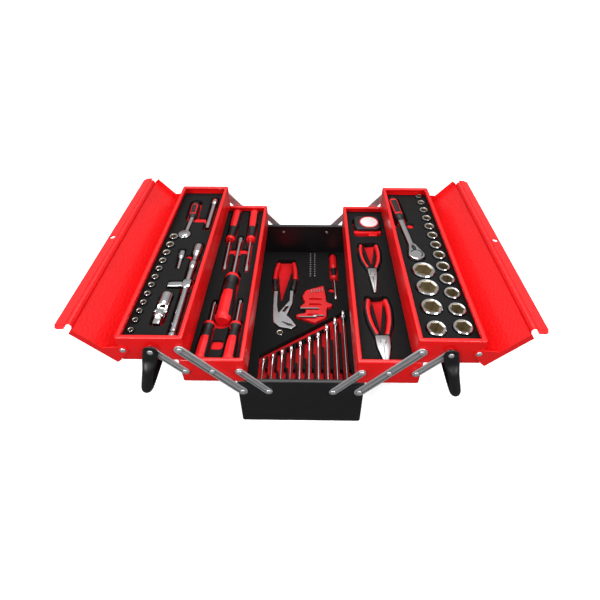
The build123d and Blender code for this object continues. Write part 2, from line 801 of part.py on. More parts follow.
def pump_pliers():
    """Slip-joint pliers: a hooked head, a slot for the joint and two legs."""
    bay = BOTTOM_BAY
    outline = polygon([*PUMP_HEAD, *PUMP_INSIDE, (-66, 72)])
    outline -= Pos(-38, 19) * Rot(0, 0, 62) * Rectangle(18, 5)
    outline -= polygon([(-45, -15), (-26, -23), (-20, -28), (-30, -27)])
    metal = plate(outline, bay.liner_top, bay.top + 3)
    return metal - pump_pliers_grips()


def pump_pliers_grips():
    bay = BOTTOM_BAY
    outlines = [strip(line, 11) for line in PUMP_GRIPS]
    return group(plate(outline, bay.liner_top, bay.top + 6) for outline in outlines)


BIT_COLUMNS = (13.0, 23.0)
BIT_ROWS = 11
BIT_BACK_Y = 206.0
BIT_PITCH = 8.0
BIT_RADIUS = 3.6
BIT_LENGTH = 28.0


def screwdriver_bits():
    """Two rows of six-sided bits."""
    bay = BOTTOM_BAY
    bits = []
    for x in BIT_COLUMNS:
        for row in range(BIT_ROWS):
            y = BIT_BACK_Y - row * BIT_PITCH
            shank = RegularPolygon(BIT_RADIUS, 6)
            bits.append(Pos(x, y, bay.top + 1 - BIT_LENGTH) * extrude(shank, BIT_LENGTH))
    return group(bits)


def bit_adapter():
    bay = BOTTOM_BAY
    return socket(bay, -46, -45, 13, 2, FOAM_SHEET + 2)


def small_screwdriver_blade():
    bay = BOTTOM_BAY
    stations = [(0.01, 2.6), (0.8, 2.6), (1, 1.8)]
    return turned(bay.point(67, 117, 9), bay.point(69, 55, 9), stations, SHANK_SIDES)


def small_screwdriver_handle():
    """A short handle with a thin neck and a wide collar."""
    bay = BOTTOM_BAY
    stations = [(0, 5), (0.08, 8.5), (0.5, 8.5), (0.6, 5), (0.88, 5), (0.93, 9), (1, 7)]
    return turned(bay.point(66.5, 202, 9), bay.point(67, 117, 9), stations, HANDLE_SIDES)


HOLDER_OUTLINE = [
    (-4, 54), (3, 74), (43, 90), (47, 55), (48, 38), (60, 34), (60, 26), (48, 22), (47, -5),
    (23, -20), (-17, -3), (-12, 4), (4, 6), (4, 21), (-10, 23), (3, 37),
]


def hex_key_holder():
    """A moulded clip that carries the keys in two rows."""
    bay = BOTTOM_BAY
    return plate(polygon(HOLDER_OUTLINE), bay.liner_top, bay.top + 4)


def hex_keys():
    """Keys laid over the clip, with one row standing at its back."""
    bay = BOTTOM_BAY
    low, high = bay.top + 4, bay.top + 7
    flat = [block((-7, 31), (14.5, 19.5), (low, high)), block((-8, 26), (-9, -5), (low, high))]
    flat.append(block((20, 42), (-4.5, -1), (low, high)))
    standing = [block((14 + 6 * i, 17 + 6 * i), (64 + i, 74 + i), (low, high)) for i in range(5)]
    return group(flat + standing)


# Everything is written out


def save_structure():
    save("bottom_tray", bottom_tray())
    save_pair("middle_tray", middle_tray())
    save_pair("upper_tray", upper_tray())
    save_pair("long_links", link(LONG_BOTTOM, 2, LONG_LINK_WIDTH))
    save_pair("lower_links", link(LOWER_BOTTOM, 1, SHORT_LINK_WIDTH))
    save_pair("upper_links", link(UPPER_BOTTOM, 1, SHORT_LINK_WIDTH))
    save("bottom_tray_rivets", bottom_tray_rivets())
    save_pair("middle_tray_rivets", middle_tray_rivets())
    save_pair("upper_tray_rivets", upper_tray_rivets())
    save_pair("lid_rivets", lid_rivets())
    save_pair("handle_rivets", handle_rivets())
    save_pair("lid", lid())
    save_pair("handle", handle())


def save_foams():
    half = BOTTOM_WIDTH / 2
    bits = ((8, 28), (120, 211))
    bottom = [((-74, -12), (-40, 186)), bits, ((54, 79), (50, 204)), ((-20, 62), (-22, 92))]
    bottom += [around(-46, -45, 6.5), *wrench_pockets()]
    bottom_liner = BOTTOM_BAY.liner_top - BOTTOM_BAY.liner_floor
    save_foam("bottom", BOTTOM_BAY, (-half, half), bottom, [(*bits, bottom_liner)])

    drivers = [((17, 42), (8, 213.5)), ((58, 84), (4, 213.5)), ((33, 68), (-127, 114))]
    drivers += [((16, 41), (-213.5, -76)), ((60, 86), (-213.5, -71))]
    edges = (LEFT_MIDDLE_BAY.x(0), LEFT_MIDDLE_BAY.x(TRAY_WIDTH))
    big_handle = ((33, 68), (-127, 3), 6)
    save_foam("left_middle", LEFT_MIDDLE_BAY, edges, drivers, [big_handle])

    plier_beds = [((26, 78), (-54, 94)), ((26, 80), (-207, -62)), ((18, 80), (119, 184))]
    edges = (RIGHT_MIDDLE_BAY.x(0), RIGHT_MIDDLE_BAY.x(TRAY_WIDTH))
    save_foam("right_middle", RIGHT_MIDDLE_BAY, edges, plier_beds)

    small = socket_pockets(SMALL_ROW)
    small += [((22, 50), (45, 176)), ((63, 83), (78, 192)), ((36, 54), (-42, 12))]
    small += [((61, 84), (-204, 27)), ((39, 88), (-95, -71)), ((34, 58), (-178, -104))]
    edges = (LEFT_UPPER_BAY.x(0), LEFT_UPPER_BAY.x(TRAY_WIDTH))
    small_depth = SMALL_SOCKET_LENGTH - SOCKET_PROUD - FOAM_SHEET
    save_foam("left_upper", LEFT_UPPER_BAY, edges, small, [row_well(SMALL_ROW, 9, small_depth)])

    large = socket_pockets(MEDIUM_ROW) + socket_pockets(LARGE_ROW)
    large += [((44, 80), (-19, 36)), ((57, 92), (36, 200))]
    edges = (RIGHT_UPPER_BAY.x(0), RIGHT_UPPER_BAY.x(TRAY_WIDTH))
    large_depth = LARGE_SOCKET_LENGTH - SOCKET_PROUD - FOAM_SHEET
    wells = [row_well(MEDIUM_ROW, 16, large_depth), row_well(LARGE_ROW, 21, large_depth)]
    save_foam("right_upper", RIGHT_UPPER_BAY, edges, large, wells)


def save_tools():
    save("combination_wrenches", combination_wrenches())
    save("pump_pliers", pump_pliers())
    save("pump_pliers_grips", pump_pliers_grips())
    save("screwdriver_bits", screwdriver_bits())
    save("bit_adapter", bit_adapter())
    save("small_screwdriver_blade", small_screwdriver_blade())
    save("small_screwdriver_handle", small_screwdriver_handle())
    save("hex_key_holder", hex_key_holder())
    save("hex_keys", hex_keys())
    save("screwdriver_blades", screwdriver_blades())
    save("screwdriver_handles", screwdriver_handles())
    save("tape_measure", tape_measure())
    save("long_nose_pliers", pliers_metal(LONG_NOSE))
    save("long_nose_pliers_grips", pliers_grips(LONG_NOSE))
    save("combination_pliers", pliers_metal(COMBINATION))
    save("combination_pliers_grips", pliers_grips(COMBINATION))
    save("small_ratchet", small_ratchet())
    save("small_ratchet_grip", small_ratchet_grip())
    save("small_sockets", socket_row(LEFT_UPPER_BAY, SMALL_ROW, SOCKET_PROUD, SMALL_SOCKET_LENGTH))
    save("extension_bars", extension_bars())
    save("sliding_t_bar", sliding_t_bar())
    save("universal_joint", universal_joint())
    save("large_ratchet", large_ratchet())
    save("large_ratchet_grip", large_ratchet_grip())
    rows = MEDIUM_ROW + LARGE_ROW
    save("large_sockets", socket_row(RIGHT_UPPER_BAY, rows, SOCKET_PROUD, LARGE_SOCKET_LENGTH))


def main():
    os.makedirs("parts", exist_ok=True)
    save_structure()
    save_foams()
    save_tools()


main()
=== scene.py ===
import json

import bmesh
import bpy
import numpy as np
from bpy.props import FloatProperty, FloatVectorProperty, IntProperty, PointerProperty
from mathutils import Matrix, Vector

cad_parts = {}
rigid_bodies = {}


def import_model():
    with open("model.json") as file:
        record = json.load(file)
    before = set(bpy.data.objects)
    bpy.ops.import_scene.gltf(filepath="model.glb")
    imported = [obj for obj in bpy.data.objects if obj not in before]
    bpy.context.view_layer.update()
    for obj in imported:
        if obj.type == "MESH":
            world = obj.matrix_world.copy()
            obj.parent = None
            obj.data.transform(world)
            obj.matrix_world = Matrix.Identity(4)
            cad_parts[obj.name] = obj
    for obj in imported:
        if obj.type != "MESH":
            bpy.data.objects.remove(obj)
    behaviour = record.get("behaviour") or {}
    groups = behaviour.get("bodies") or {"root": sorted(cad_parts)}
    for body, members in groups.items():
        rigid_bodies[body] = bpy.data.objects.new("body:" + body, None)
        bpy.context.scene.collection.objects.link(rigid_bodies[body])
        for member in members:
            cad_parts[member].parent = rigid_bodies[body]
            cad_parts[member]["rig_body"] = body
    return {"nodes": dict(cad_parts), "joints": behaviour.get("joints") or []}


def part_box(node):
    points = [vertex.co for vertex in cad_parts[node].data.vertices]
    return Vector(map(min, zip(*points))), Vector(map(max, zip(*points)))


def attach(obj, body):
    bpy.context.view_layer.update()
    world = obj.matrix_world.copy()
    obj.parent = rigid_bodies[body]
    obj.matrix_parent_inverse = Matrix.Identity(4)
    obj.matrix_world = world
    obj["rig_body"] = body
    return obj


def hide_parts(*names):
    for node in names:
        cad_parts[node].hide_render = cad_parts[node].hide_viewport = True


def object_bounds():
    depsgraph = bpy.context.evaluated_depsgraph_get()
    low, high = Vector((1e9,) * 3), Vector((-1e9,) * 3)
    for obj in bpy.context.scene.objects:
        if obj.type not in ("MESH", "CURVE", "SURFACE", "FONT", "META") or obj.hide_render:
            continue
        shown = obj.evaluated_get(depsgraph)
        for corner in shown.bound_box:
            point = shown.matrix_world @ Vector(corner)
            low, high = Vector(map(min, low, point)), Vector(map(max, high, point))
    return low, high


bl_info = {
    "name": "Cantilever Tool Case",
    "version": (1, 0, 0),
    "blender": (4, 5, 0),
    "location": "View3D > Sidebar > Tool Case",
    "description": "Dresses a cantilever tool case that stands open with its tools in foam beds",
    "category": "Object",
}

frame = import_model()
CAD_BOX = [list(corner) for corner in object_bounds()]

# Lengths are metres, apart from the tables of what lies in the beds. Those are millimetres, as the
# places in a Bay are
MM = 0.001
SIDES = {"left": -1, "right": 1}
UP = np.array([0.0, 0.0, 1.0])

# Camera, fitted to the rims and pivots in a photograph of 600 by 600 pixels
PICTURE_SIZE = 600
CAMERA_PLACE = (0.0144, -0.6248, 0.6907)
CAMERA_PITCH = 38.075
CAMERA_YAW = -0.672
CAMERA_ROLL = 0.086
CAMERA_FOCAL_PIXELS = 438.87
CAMERA_CENTRE_PIXELS = (307.13, 250.0)
SENSOR_WIDTH = 36.0


# Sizes and colours that a user may change


def colour(name, description, default):
    return FloatVectorProperty(
        name=name, description=description, subtype="COLOR", size=3, min=0, max=1, default=default
    )


def length(name, description, default):
    return FloatProperty(
        name=name, description=description, default=default, min=0, unit="LENGTH", subtype="DISTANCE"
    )


class CaseSizes(bpy.types.PropertyGroup):
    """Sizes that finish the case beyond its solids."""

    rim_round: length("Rim rounding", "Radius of the rolled rims of the trays", 0.0018)
    corner_round: length("Corner rounding", "Radius of the trays' upright corners", 0.004)
    link_groove: length("Link groove", "Depth of the pressed groove in each link", 0.0014)
    link_edge: length("Link edge", "Rounding of the links' edges", 0.0007)
    rivet_height: length("Rivet head", "Height of a domed rivet head", 0.0018)
    foam_step: length("Foam detail", "Spacing of the points on the foam", 0.0011)
    round_sides: IntProperty(
        name="Round sides", description="Faces round each turned piece", default=32, min=12
    )


class CaseColours(bpy.types.PropertyGroup):
    """Colours of the finishes."""

    red_paint: colour("Red paint", "Gloss enamel of the four upper trays", (0.78, 0.002, 0.003))
    lid_paint: colour("Lid paint", "Hammered enamel inside the lids", (0.84, 0.006, 0.008))
    black_paint: colour("Black paint", "Satin enamel of the bottom tray and handles", (0.006, 0.006, 0.007))
    plating: colour("Plating", "Zinc of the links and rivets", (0.70, 0.71, 0.73))
    chrome: colour("Chrome", "Polished sockets, bars and wrenches", (0.64, 0.64, 0.65))
    steel: colour("Steel", "Satin jaws and keys", (0.48, 0.48, 0.49))
    socket_well: colour("Socket well", "Oiled steel inside the sockets", (0.44, 0.38, 0.27))
    black_foam: colour("Black foam", "Upper sheet of the beds", (0.006, 0.006, 0.006))
    red_foam: colour("Red foam", "Lower sheet that shows in the cut-outs", (0.92, 0.010, 0.014))
    grip_black: colour("Black grip", "Moulded grips and handles", (0.009, 0.009, 0.010))
    grip_red: colour("Red grip", "Soft inlays of the grips", (0.80, 0.006, 0.010))
    bare_white: colour("Bare disc", "Plain face of the tape measure", (0.78, 0.78, 0.77))
    floor: colour("Floor", "Seamless studio floor", (0.90, 0.90, 0.90))


# Surfaces: grids of points worked out as whole arrays


class Shape:
    """Grids and caps gathered into one mesh, with a place value at each point for its finish."""

    def __init__(self):
        self.points, self.places, self.quads, self.caps = [], [], [], []
        self.count = 0

    def grid(self, points, around=True, along=False, capped=False, keep=None):
        """Quads over a grid of rows of points. The place is the share along the rows, and the cosine
        and sine of the turn round a row, which meet without a seam."""
        rows, columns = points.shape[:2]
        index = self.count + np.arange(rows * columns).reshape(rows, columns)
        turns = np.linspace(0, 2 * np.pi, columns, endpoint=False)
        share, turn = np.meshgrid(np.linspace(0, 1, rows), turns, indexing="ij")
        self.points.append(points.reshape(-1, 3))
        self.places.append(np.stack([share, np.cos(turn), np.sin(turn)], -1).reshape(-1, 3))
        self.count += rows * columns
        wide = np.concatenate([index, index[:, :1]], 1) if around else index
        wide = np.concatenate([wide, wide[:1]], 0) if along else wide
        quads = np.stack([wide[:-1, :-1], wide[:-1, 1:], wide[1:, 1:], wide[1:, :-1]], -1)
        self.quads.append(quads[keep] if keep is not None else quads.reshape(-1, 4))
        if capped:
            self.caps += [index[0][::-1].tolist(), index[-1].tolist()]

    def turn(self, bay, start, end, stations, steps=90, window=3, **more):
        """A piece turned about a line in a bed, through radii at shares of its length, all in the
        bed's own millimetres."""
        sized = [(share, radius * MM) for share, radius in stations]
        rings = turned(bay.at(*start), bay.at(*end), sized, steps, window, **more)
        self.grid(rings, capped=True)

    def mirrored(self, axis):
        """The same shape with a copy of it mirrored in the plane across an axis."""
        flip = np.ones(3)
        flip[axis] = -1
        start = self.count
        quads = [part + start for part in self.quads]
        self.caps += [[i + start for i in cap] for cap in self.caps]
        self.quads += quads
        self.points += [part * flip for part in self.points]
        self.places += self.places
        self.count *= 2
        return self

    def finish(self, name, body, slot, finish, *replaces, sharp=35, closed=True):
        """Makes the object, turns its faces outwards, shades it and lets it ride on its body."""
        mesh = bpy.data.meshes.new(name)
        quads = np.concatenate(self.quads)
        used = np.zeros(self.count, bool)
        used[quads] = True
        number = np.cumsum(used) - 1
        faces = number[quads].tolist() + [number[cap].tolist() for cap in self.caps]
        mesh.from_pydata(np.concatenate(self.points)[used], [], faces)
        place = mesh.attributes.new("place", "FLOAT_VECTOR", "POINT")
        places = np.concatenate(self.places)[used].astype(np.float32)
        place.data.foreach_set("vector", places.ravel())
        if closed:
            solid = bmesh.new()
            solid.from_mesh(mesh)
            bmesh.ops.recalc_face_normals(solid, faces=solid.faces)
            solid.to_mesh(mesh)
            solid.free()
        mesh.shade_smooth()
        mesh.set_sharp_from_angle(angle=np.radians(sharp))
        mesh.materials.append(finish_of(finish))
        piece = bpy.data.objects.new(name, mesh)
        bpy.context.scene.collection.objects.link(piece)
        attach(piece, body)
        if replaces:
            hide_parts(*replaces)
        return piece


def unit(vectors):
    return vectors / np.linalg.norm(vectors, axis=-1, keepdims=True)


def tube(path, across, high=None, sides=None, up=UP, power=2.0):
    """Rings square to a path. A ring's point at angle a lies across * cos(a) to the side and
    high * sin(a) up, with both raised to 2 / power so that a larger power squares the ring."""
    sides = sides or bpy.context.scene.case_sizes.round_sides
    path = np.asarray(path, float)
    across = np.broadcast_to(across, len(path))
    high = across if high is None else np.broadcast_to(high, len(path))
    way = unit(np.gradient(path, axis=0))
    side = unit(np.cross(way, up))
    top = np.cross(side, way)
    turn = np.linspace(0, 2 * np.pi, sides, endpoint=False)
    flat, tall = (np.sign(f(turn)) * np.abs(f(turn)) ** (2 / power) for f in (np.cos, np.sin))
    out = side[:, None] * (across[:, None] * flat)[..., None]
    return path[:, None] + out + top[:, None] * (high[:, None] * tall)[..., None]


def eased(stations, steps, window):
    """Shares and values along a piece, with straight runs between stations and corners softened
    by a running mean over a window of steps."""
    share = np.linspace(0, 1, steps)
    value = np.interp(share, *np.transpose(stations))
    edge = window // 2
    padded = np.concatenate([np.full(edge, value[0]), value, np.full(edge, value[-1])])
    return share, np.convolve(padded, np.ones(window) / window, "valid")


def turned(start, end, stations, steps, window, **more):
    """A piece turned about the line from start to end, through radii at shares of its length."""
    start, end = np.asarray(start, float), np.asarray(end, float)
    share, radius = eased(stations, steps, window)
    return tube(start + share[:, None] * (end - start), radius, **more)


def curved(points, steps):
    """A smooth line through points: a weighted mean of two parabolas on each run, evenly stepped."""
    points = np.asarray(points, float)
    ends = np.concatenate([2 * points[:1] - points[1:2], points, 2 * points[-1:] - points[-2:-1]])
    t = np.linspace(0, len(points) - 1, steps)
    i = np.minimum(t.astype(int), len(points) - 2)
    f = (t - i)[:, None]
    a, b, c, d = ends[i], ends[i + 1], ends[i + 2], ends[i + 3]
    return 0.5 * (2 * b + (c - a) * f + (2 * a - 5 * b + 4 * c - d) * f**2 + (3 * b - a - 3 * c + d) * f**3)


def softened(corners, radius, steps):
    """An outline whose corners are each replaced by a parabola that starts a radius before the corner."""
    corners = np.asarray(corners, float)
    before, after = np.roll(corners, 1, 0) - corners, np.roll(corners, -1, 0) - corners
    limit = np.minimum(np.linalg.norm(before, axis=1), np.linalg.norm(after, axis=1)) * 0.49
    reach = np.minimum(radius, limit)[:, None]
    first, last = corners + unit(before) * reach, corners + unit(after) * reach
    t = np.linspace(0, 1, steps)[None, :, None]
    bend = (1 - t) ** 2 * first[:, None] + 2 * t * (1 - t) * corners[:, None] + t**2 * last[:, None]
    return bend.reshape(-1, 2)


def circle(centre, radius, steps):
    turn = np.linspace(0, 2 * np.pi, steps, endpoint=False)
    return np.asarray(centre) + radius * np.stack([np.cos(turn), np.sin(turn)], -1)


def inset(outline, distance):
    """The outline moved inwards along the mean of its neighbouring edges' normals."""
    way = unit(np.roll(outline, -1, 0) - np.roll(outline, 1, 0))
    normal = np.stack([-way[:, 1], way[:, 0]], -1)
    x, y = outline.T
    area = np.sum(x * np.roll(y, -1) - y * np.roll(x, -1))
    return outline + normal * distance * np.sign(area)


def plate(shape, outline, low, high, edge):
    """A flat piece with rounded edges, from an outline and two levels in metres."""
    turn = np.linspace(0, np.pi / 2, 4)
    depths = edge * (1 - np.concatenate([np.sin(turn), np.sin(turn)[::-1]]))
    levels = np.concatenate([low + edge * (1 - np.cos(turn)), high - edge * (1 - np.cos(turn))[::-1]])
    rings = np.stack([inset(outline, depth) for depth in depths])
    level = np.broadcast_to(levels[:, None, None], (*rings.shape[:2], 1))
    shape.grid(np.concatenate([rings, level], -1), capped=True)


def slab(shape, bay, across, along, levels, corner, steps, edge):
    """A plate with round corners, between limits across and along a bed in its own millimetres."""
    corners = [(across[i], along[j]) for i, j in ((0, 0), (1, 0), (1, 1), (0, 1))]
    plate(shape, softened(bay.flat(corners), corner * MM, steps), *levels, edge * MM)


def hoop(shape, centre, reach, rise, steps, axes=(0, 1, 2)):
    """A closed ring about the last of three axes. A point of its section, at an angle a round it, lies
    reach * cos(a) and reach * sin(a) along the first two axes and rise along the last."""
    turn = np.linspace(0, 2 * np.pi, steps, endpoint=False)[:, None]
    parts = (reach * np.cos(turn), reach * np.sin(turn), np.broadcast_to(rise, (steps, len(rise))))
    ring = np.empty((steps, len(rise), 3))
    for axis, part in zip(axes, parts):
        ring[..., axis] = centre[axis] + part
    shape.grid(ring, along=True)


def limits_round(points, margin):
    """Limits along each axis that stand a margin off from points."""
    return [(low - margin, high + margin) for low, high in zip(points.min(0), points.max(0))]


def domes(shape, centres, way, radius, height):
    """Rivet heads: quarter ellipses turned about a way, standing on their centres."""
    turn = np.linspace(0, 0.97 * np.pi / 2, 7)
    for centre in centres:
        path = np.asarray(centre) + (height * np.sin(turn))[:, None] * np.asarray(way, float)
        shape.grid(tube(path, radius * np.cos(turn), sides=24, up=UP), capped=True)


# Places in the frame


def pivot(joint):
    """Where a joint's axis crosses the plane of X and Z."""
    place = next(j["pos_m"] for j in frame["joints"] if j["name"] == joint)
    return np.array([place[0], place[2]])


class Bay:
    """The bed of one tray. Places in it are millimetres in from the tray's outer edge, along the
    case, and up from the red foam, on which the tools lie."""

    def __init__(self, name, side):
        self.name, self.side = name, side
        self.low, self.high = (np.array(corner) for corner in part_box(f"{name}_foam"))
        tray_low, tray_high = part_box(f"{name}_tray")
        self.outer = 0.0 if name == "bottom" else (tray_high.x if side > 0 else -tray_low.x)
        self.body = "base" if name == "bottom" else name
        self.top, self.liner = self.high[2], self.low[2]

    def x(self, inward):
        return self.side * (self.outer - np.asarray(inward) * MM)

    def at(self, inward, along, height=0.0):
        return np.array([self.x(inward), along * MM, self.liner + height * MM])

    def flat(self, points):
        """Points of the bed as X and Y."""
        points = np.asarray(points, float)
        return np.stack([self.x(points[..., 0]), points[..., 1] * MM], -1)


# Finishes


class Signal:
    """A shader socket that takes part in sums, each of which adds its Math node."""

    def __init__(self, finish, socket):
        self.finish, self.socket = finish, socket

    def join(self, operation, first, second):
        return self.finish.add("ShaderNodeMath", {"operation": operation}, {0: first, 1: second})

    def __add__(self, other):
        return self.join("ADD", self, other)

    def __radd__(self, other):
        return self.join("ADD", other, self)

    def __sub__(self, other):
        return self.join("SUBTRACT", self, other)

    def __rsub__(self, other):
        return self.join("SUBTRACT", other, self)

    def __mul__(self, other):
        return self.join("MULTIPLY", self, other)

    def __rmul__(self, other):
        return self.join("MULTIPLY", other, self)

    def above(self, limit):
        return self.join("GREATER_THAN", self, limit)


class Finish:
    """A material: one shader, its fixed values, and the nodes that vary it over a surface."""

    def __init__(self, name, roughness, metallic=0.0, **fixed):
        self.material = bpy.data.materials.new(name)
        self.material.use_nodes = True
        self.tree = self.material.node_tree
        self.shader = self.tree.nodes["Principled BSDF"]
        values = {"Roughness": roughness, "Metallic": metallic}
        values.update({key.replace("_", " ").title(): value for key, value in fixed.items()})
        for socket, value in values.items():
            self.feed(self.shader.inputs[socket], value)

    def add(self, kind, settings, inputs, output=0):
        node = self.tree.nodes.new(kind)
        for key, value in settings.items():
            setattr(node, key, value)
        for key, value in inputs.items():
            self.feed(node.inputs[key], value)
        return Signal(self, node.outputs[output])

    def feed(self, socket, value):
        if isinstance(value, Signal):
            self.tree.links.new(value.socket, socket)
        elif hasattr(value, "__len__") and len(value) == 3 and socket.type == "RGBA":
            socket.default_value = (*value, 1)
        else:
            socket.default_value = value

    def set(self, socket, value):
        self.feed(self.shader.inputs[socket], value)
        return self

    def stretched(self, scale):
        """Object coordinates, stretched by a factor along each axis."""
        place = self.add("ShaderNodeTexCoord", {}, {}, "Object")
        return self.add("ShaderNodeMapping", {}, {"Vector": place, "Scale": scale})

    def noise(self, size, detail=2.0, stretch=(1, 1, 1)):
        """Cloudy values about a half, whose lumps are about a size in metres."""
        place = self.stretched(tuple(factor / size for factor in stretch))
        return self.add("ShaderNodeTexNoise", {}, {"Vector": place, "Scale": 1.0, "Detail": detail})

    def cells(self, size):
        """Distance to the middle of the nearest of many cells of a size in metres."""
        place = self.stretched((1 / size,) * 3)
        return self.add("ShaderNodeTexVoronoi", {"feature": "F1"}, {"Vector": place, "Scale": 1.0})

    def blend(self, mask, low, high):
        settings = {"data_type": "RGBA"}
        return self.add("ShaderNodeMix", settings, {0: mask, 6: low, 7: high}, 2)

    def place(self, axis):
        """A value kept at the points of a surface: 0 is the share along it, and 1 and 2 are how far
        the point faces to the side and up."""
        kept = self.add("ShaderNodeAttribute", {"attribute_name": "place"}, {}, "Vector")
        return self.add("ShaderNodeSeparateXYZ", {}, {0: kept}, axis)

    def relief(self, height, depth, strength):
        inputs = {"Height": height, "Distance": depth, "Strength": strength}
        return self.set("Normal", self.add("ShaderNodeBump", {}, inputs))


def varied(finish, base, spread, size):
    """Base colour that drifts a little lighter and darker over a size."""
    light = tuple(min(1.0, c * (1 + spread)) for c in base)
    dark = tuple(c * (1 - spread) for c in base)
    return finish.set("Base Color", finish.blend(finish.noise(size), dark, light))


def enamel(name, base, hammer=0.0):
    """Baked gloss paint with faint orange peel, or with a hammered texture of a depth in metres."""
    finish = Finish(name, 0.34, coat_weight=0.32, coat_roughness=0.06)
    varied(finish, base, 0.10, 0.05)
    if hammer:
        lumps = finish.cells(0.0042) * 0.7 + finish.noise(0.003, 3.0) * 0.6
        finish.set("Roughness", 0.26 + 0.2 * finish.noise(0.004))
        return finish.relief(lumps, hammer, 0.9).material
    return finish.relief(finish.noise(0.0022, 1.0), 0.00004, 0.5).material


def satin_paint(name, base):
    finish = Finish(name, 0.36, coat_weight=0.25, coat_roughness=0.25)
    varied(finish, base, 0.25, 0.02)
    finish.set("Roughness", 0.30 + 0.16 * finish.noise(0.006, 3.0))
    return finish.relief(finish.noise(0.0012, 2.0), 0.00005, 0.5).material


def metal(name, base, rough, spread, grain=None, smear=0.012, metallic=1.0):
    """Bare or plated metal, with smears in its polish and, where given, a fine grain along an axis."""
    finish = Finish(name, rough, metallic)
    varied(finish, base, 0.08, smear)
    finish.set("Roughness", rough + spread * finish.noise(smear, 3.0))
    if grain:
        return finish.relief(finish.noise(0.0008, 2.0, grain), 0.00003, 0.35).material
    return finish.relief(finish.noise(0.004, 1.0), 0.00002, 0.25).material


def foam(name, base):
    """Closed-cell foam: pinholes in a matt skin, darkened with painted shade, and dust that lightens it in
    patches.
    """
    finish = Finish(name, 0.9).set("Specular IOR Level", 0.25)
    pits = finish.cells(0.0011)
    # Darker at the pits, which is painted shade in the pinholes, and lighter in random patches of dust
    shade = finish.noise(0.014, 4.0) * 0.6 + pits * 0.5
    dark, light = tuple(c * 0.6 for c in base), tuple(min(1, c * 1.7) for c in base)
    finish.set("Base Color", finish.blend(shade, dark, light))
    return finish.relief(pits + finish.noise(0.0006, 2.0) * 0.5, 0.0003, 0.6).material


def grip(name, base, inlay, ends, facing, limit, collars=(0.0, 1.0), line=None):
    """Moulded rubber with a soft inlay between two shares of its length, where the surface faces a
    turn from its side by more than a limit, and with collars of the same colour at its ends. Where a
    line is given, only the inlay's edge has its colour, that wide along the grip and round it."""
    finish = Finish(name, 0.45)
    along = finish.place(0)
    towards = finish.place(1) * float(np.cos(facing)) + finish.place(2) * float(np.sin(facing))
    pad = (towards - limit).above(0.0) * (along - ends[0]).above(0.0) * (ends[1] - along).above(0.0)
    if line:
        within = (along - ends[0] - line[0]).above(0.0) * (ends[1] - line[0] - along).above(0.0)
        pad = pad - within * (towards - limit - line[1]).above(0.0)
    collar = (collars[0] - along).above(0.0) + (along - collars[1]).above(0.0)
    finish.set("Base Color", finish.blend((pad + collar).above(0.5), base, inlay))
    finish.set("Roughness", 0.36 + 0.25 * finish.noise(0.003, 3.0))
    return finish.relief(finish.noise(0.0009, 2.0), 0.00006, 0.6).material


def socket_finish(name, outer, well):
    """Polished outside, and darker and duller past the share of the profile where the well begins."""
    finish = Finish(name, 0.08, 1.0)
    inside = (finish.place(0) - SOCKET_WELL_SHARE).above(0.0)
    finish.set("Base Color", finish.blend(inside, outer, well))
    finish.set("Roughness", 0.07 + 0.1 * finish.noise(0.01, 3.0) + 0.35 * inside)
    return finish.relief(finish.noise(0.004, 1.0), 0.00002, 0.25).material


def pressed(name, base):
    """Plated bar, with painted shade on the wall of its pressed groove."""
    finish = Finish(name, 0.3, 0.72)
    across = finish.place(0)
    wall = (across - GROOVE_SHADE_ROWS[0]).above(0.0) * (GROOVE_SHADE_ROWS[1] - across).above(0.0)
    dark, light = tuple(c * 0.88 for c in base), tuple(min(1, c * 1.06) for c in base)
    plated = finish.blend(finish.noise(0.012), dark, light)
    # Painted shade: the groove's wall takes 0.28 of the plating's colour
    finish.set("Base Color", finish.blend(wall, plated, tuple(c * 0.28 for c in base)))
    finish.set("Roughness", 0.24 + 0.16 * finish.noise(0.012, 3.0))
    return finish.relief(finish.noise(0.0008, 2.0), 0.00003, 0.35).material


def plastic(name, base, rough=0.35):
    finish = Finish(name, rough)
    varied(finish, base, 0.12, 0.01)
    finish.set("Roughness", rough + 0.12 * finish.noise(0.004, 3.0))
    return finish.relief(finish.noise(0.0007, 2.0), 0.00004, 0.5).material


def make_finishes():
    """Every finish by the name that the pieces use."""
    c = bpy.context.scene.case_colours
    black, red = tuple(c.grip_black), tuple(c.grip_red)
    return {
        "red enamel": enamel("red_enamel", tuple(c.red_paint)),
        "hammered enamel": enamel("hammered_enamel", tuple(c.lid_paint), 0.0007),
        "black enamel": satin_paint("black_enamel", tuple(c.black_paint)),
        "plating": metal("link_plating", tuple(c.plating), 0.24, 0.16, (1, 1, 1), 0.012, 0.72),
        "pressed plating": pressed("pressed_plating", tuple(c.plating)),
        "chrome": metal("tool_chrome", tuple(c.chrome), 0.06, 0.12),
        "steel": metal("tool_steel", tuple(c.steel), 0.24, 0.16, (1, 6, 1)),
        "socket": socket_finish("socket_chrome", tuple(c.chrome), tuple(c.socket_well)),
        "black foam": foam("black_foam", tuple(c.black_foam)),
        "red foam": foam("red_foam", tuple(c.red_foam)),
        "driver grip": grip("driver_grip", black, red, (0.03, 0.60), UPWARDS, 0.74, (0.07, 0.93)),
        "plier grip": grip("plier_grip", black, red, (0.06, 0.94), INWARDS, 0.45),
        "ratchet grip": grip(
            "ratchet_grip", black, red, (0.16, 0.80), UPWARDS, 0.66, (0, 1), (0.05, 0.18)
        ),
        "small driver grip": grip(
            "small_driver_grip", black, red, (0.04, 0.58), UPWARDS, ALL_ROUND, (0, 0.92)
        ),
        "pump grip": grip("pump_grip", black, red, (0.32, 1.01), UPWARDS, ALL_ROUND),
        "black plastic": plastic("black_plastic", black),
        "red plastic": plastic("red_plastic", red, 0.28),
        "bare disc": plastic("bare_disc", tuple(c.bare_white), 0.4),
    }


UPWARDS = np.pi / 2
INWARDS = np.radians(35)
# A limit that every point of a surface is past, since its turn's cosine is never under -1
ALL_ROUND = -1.1
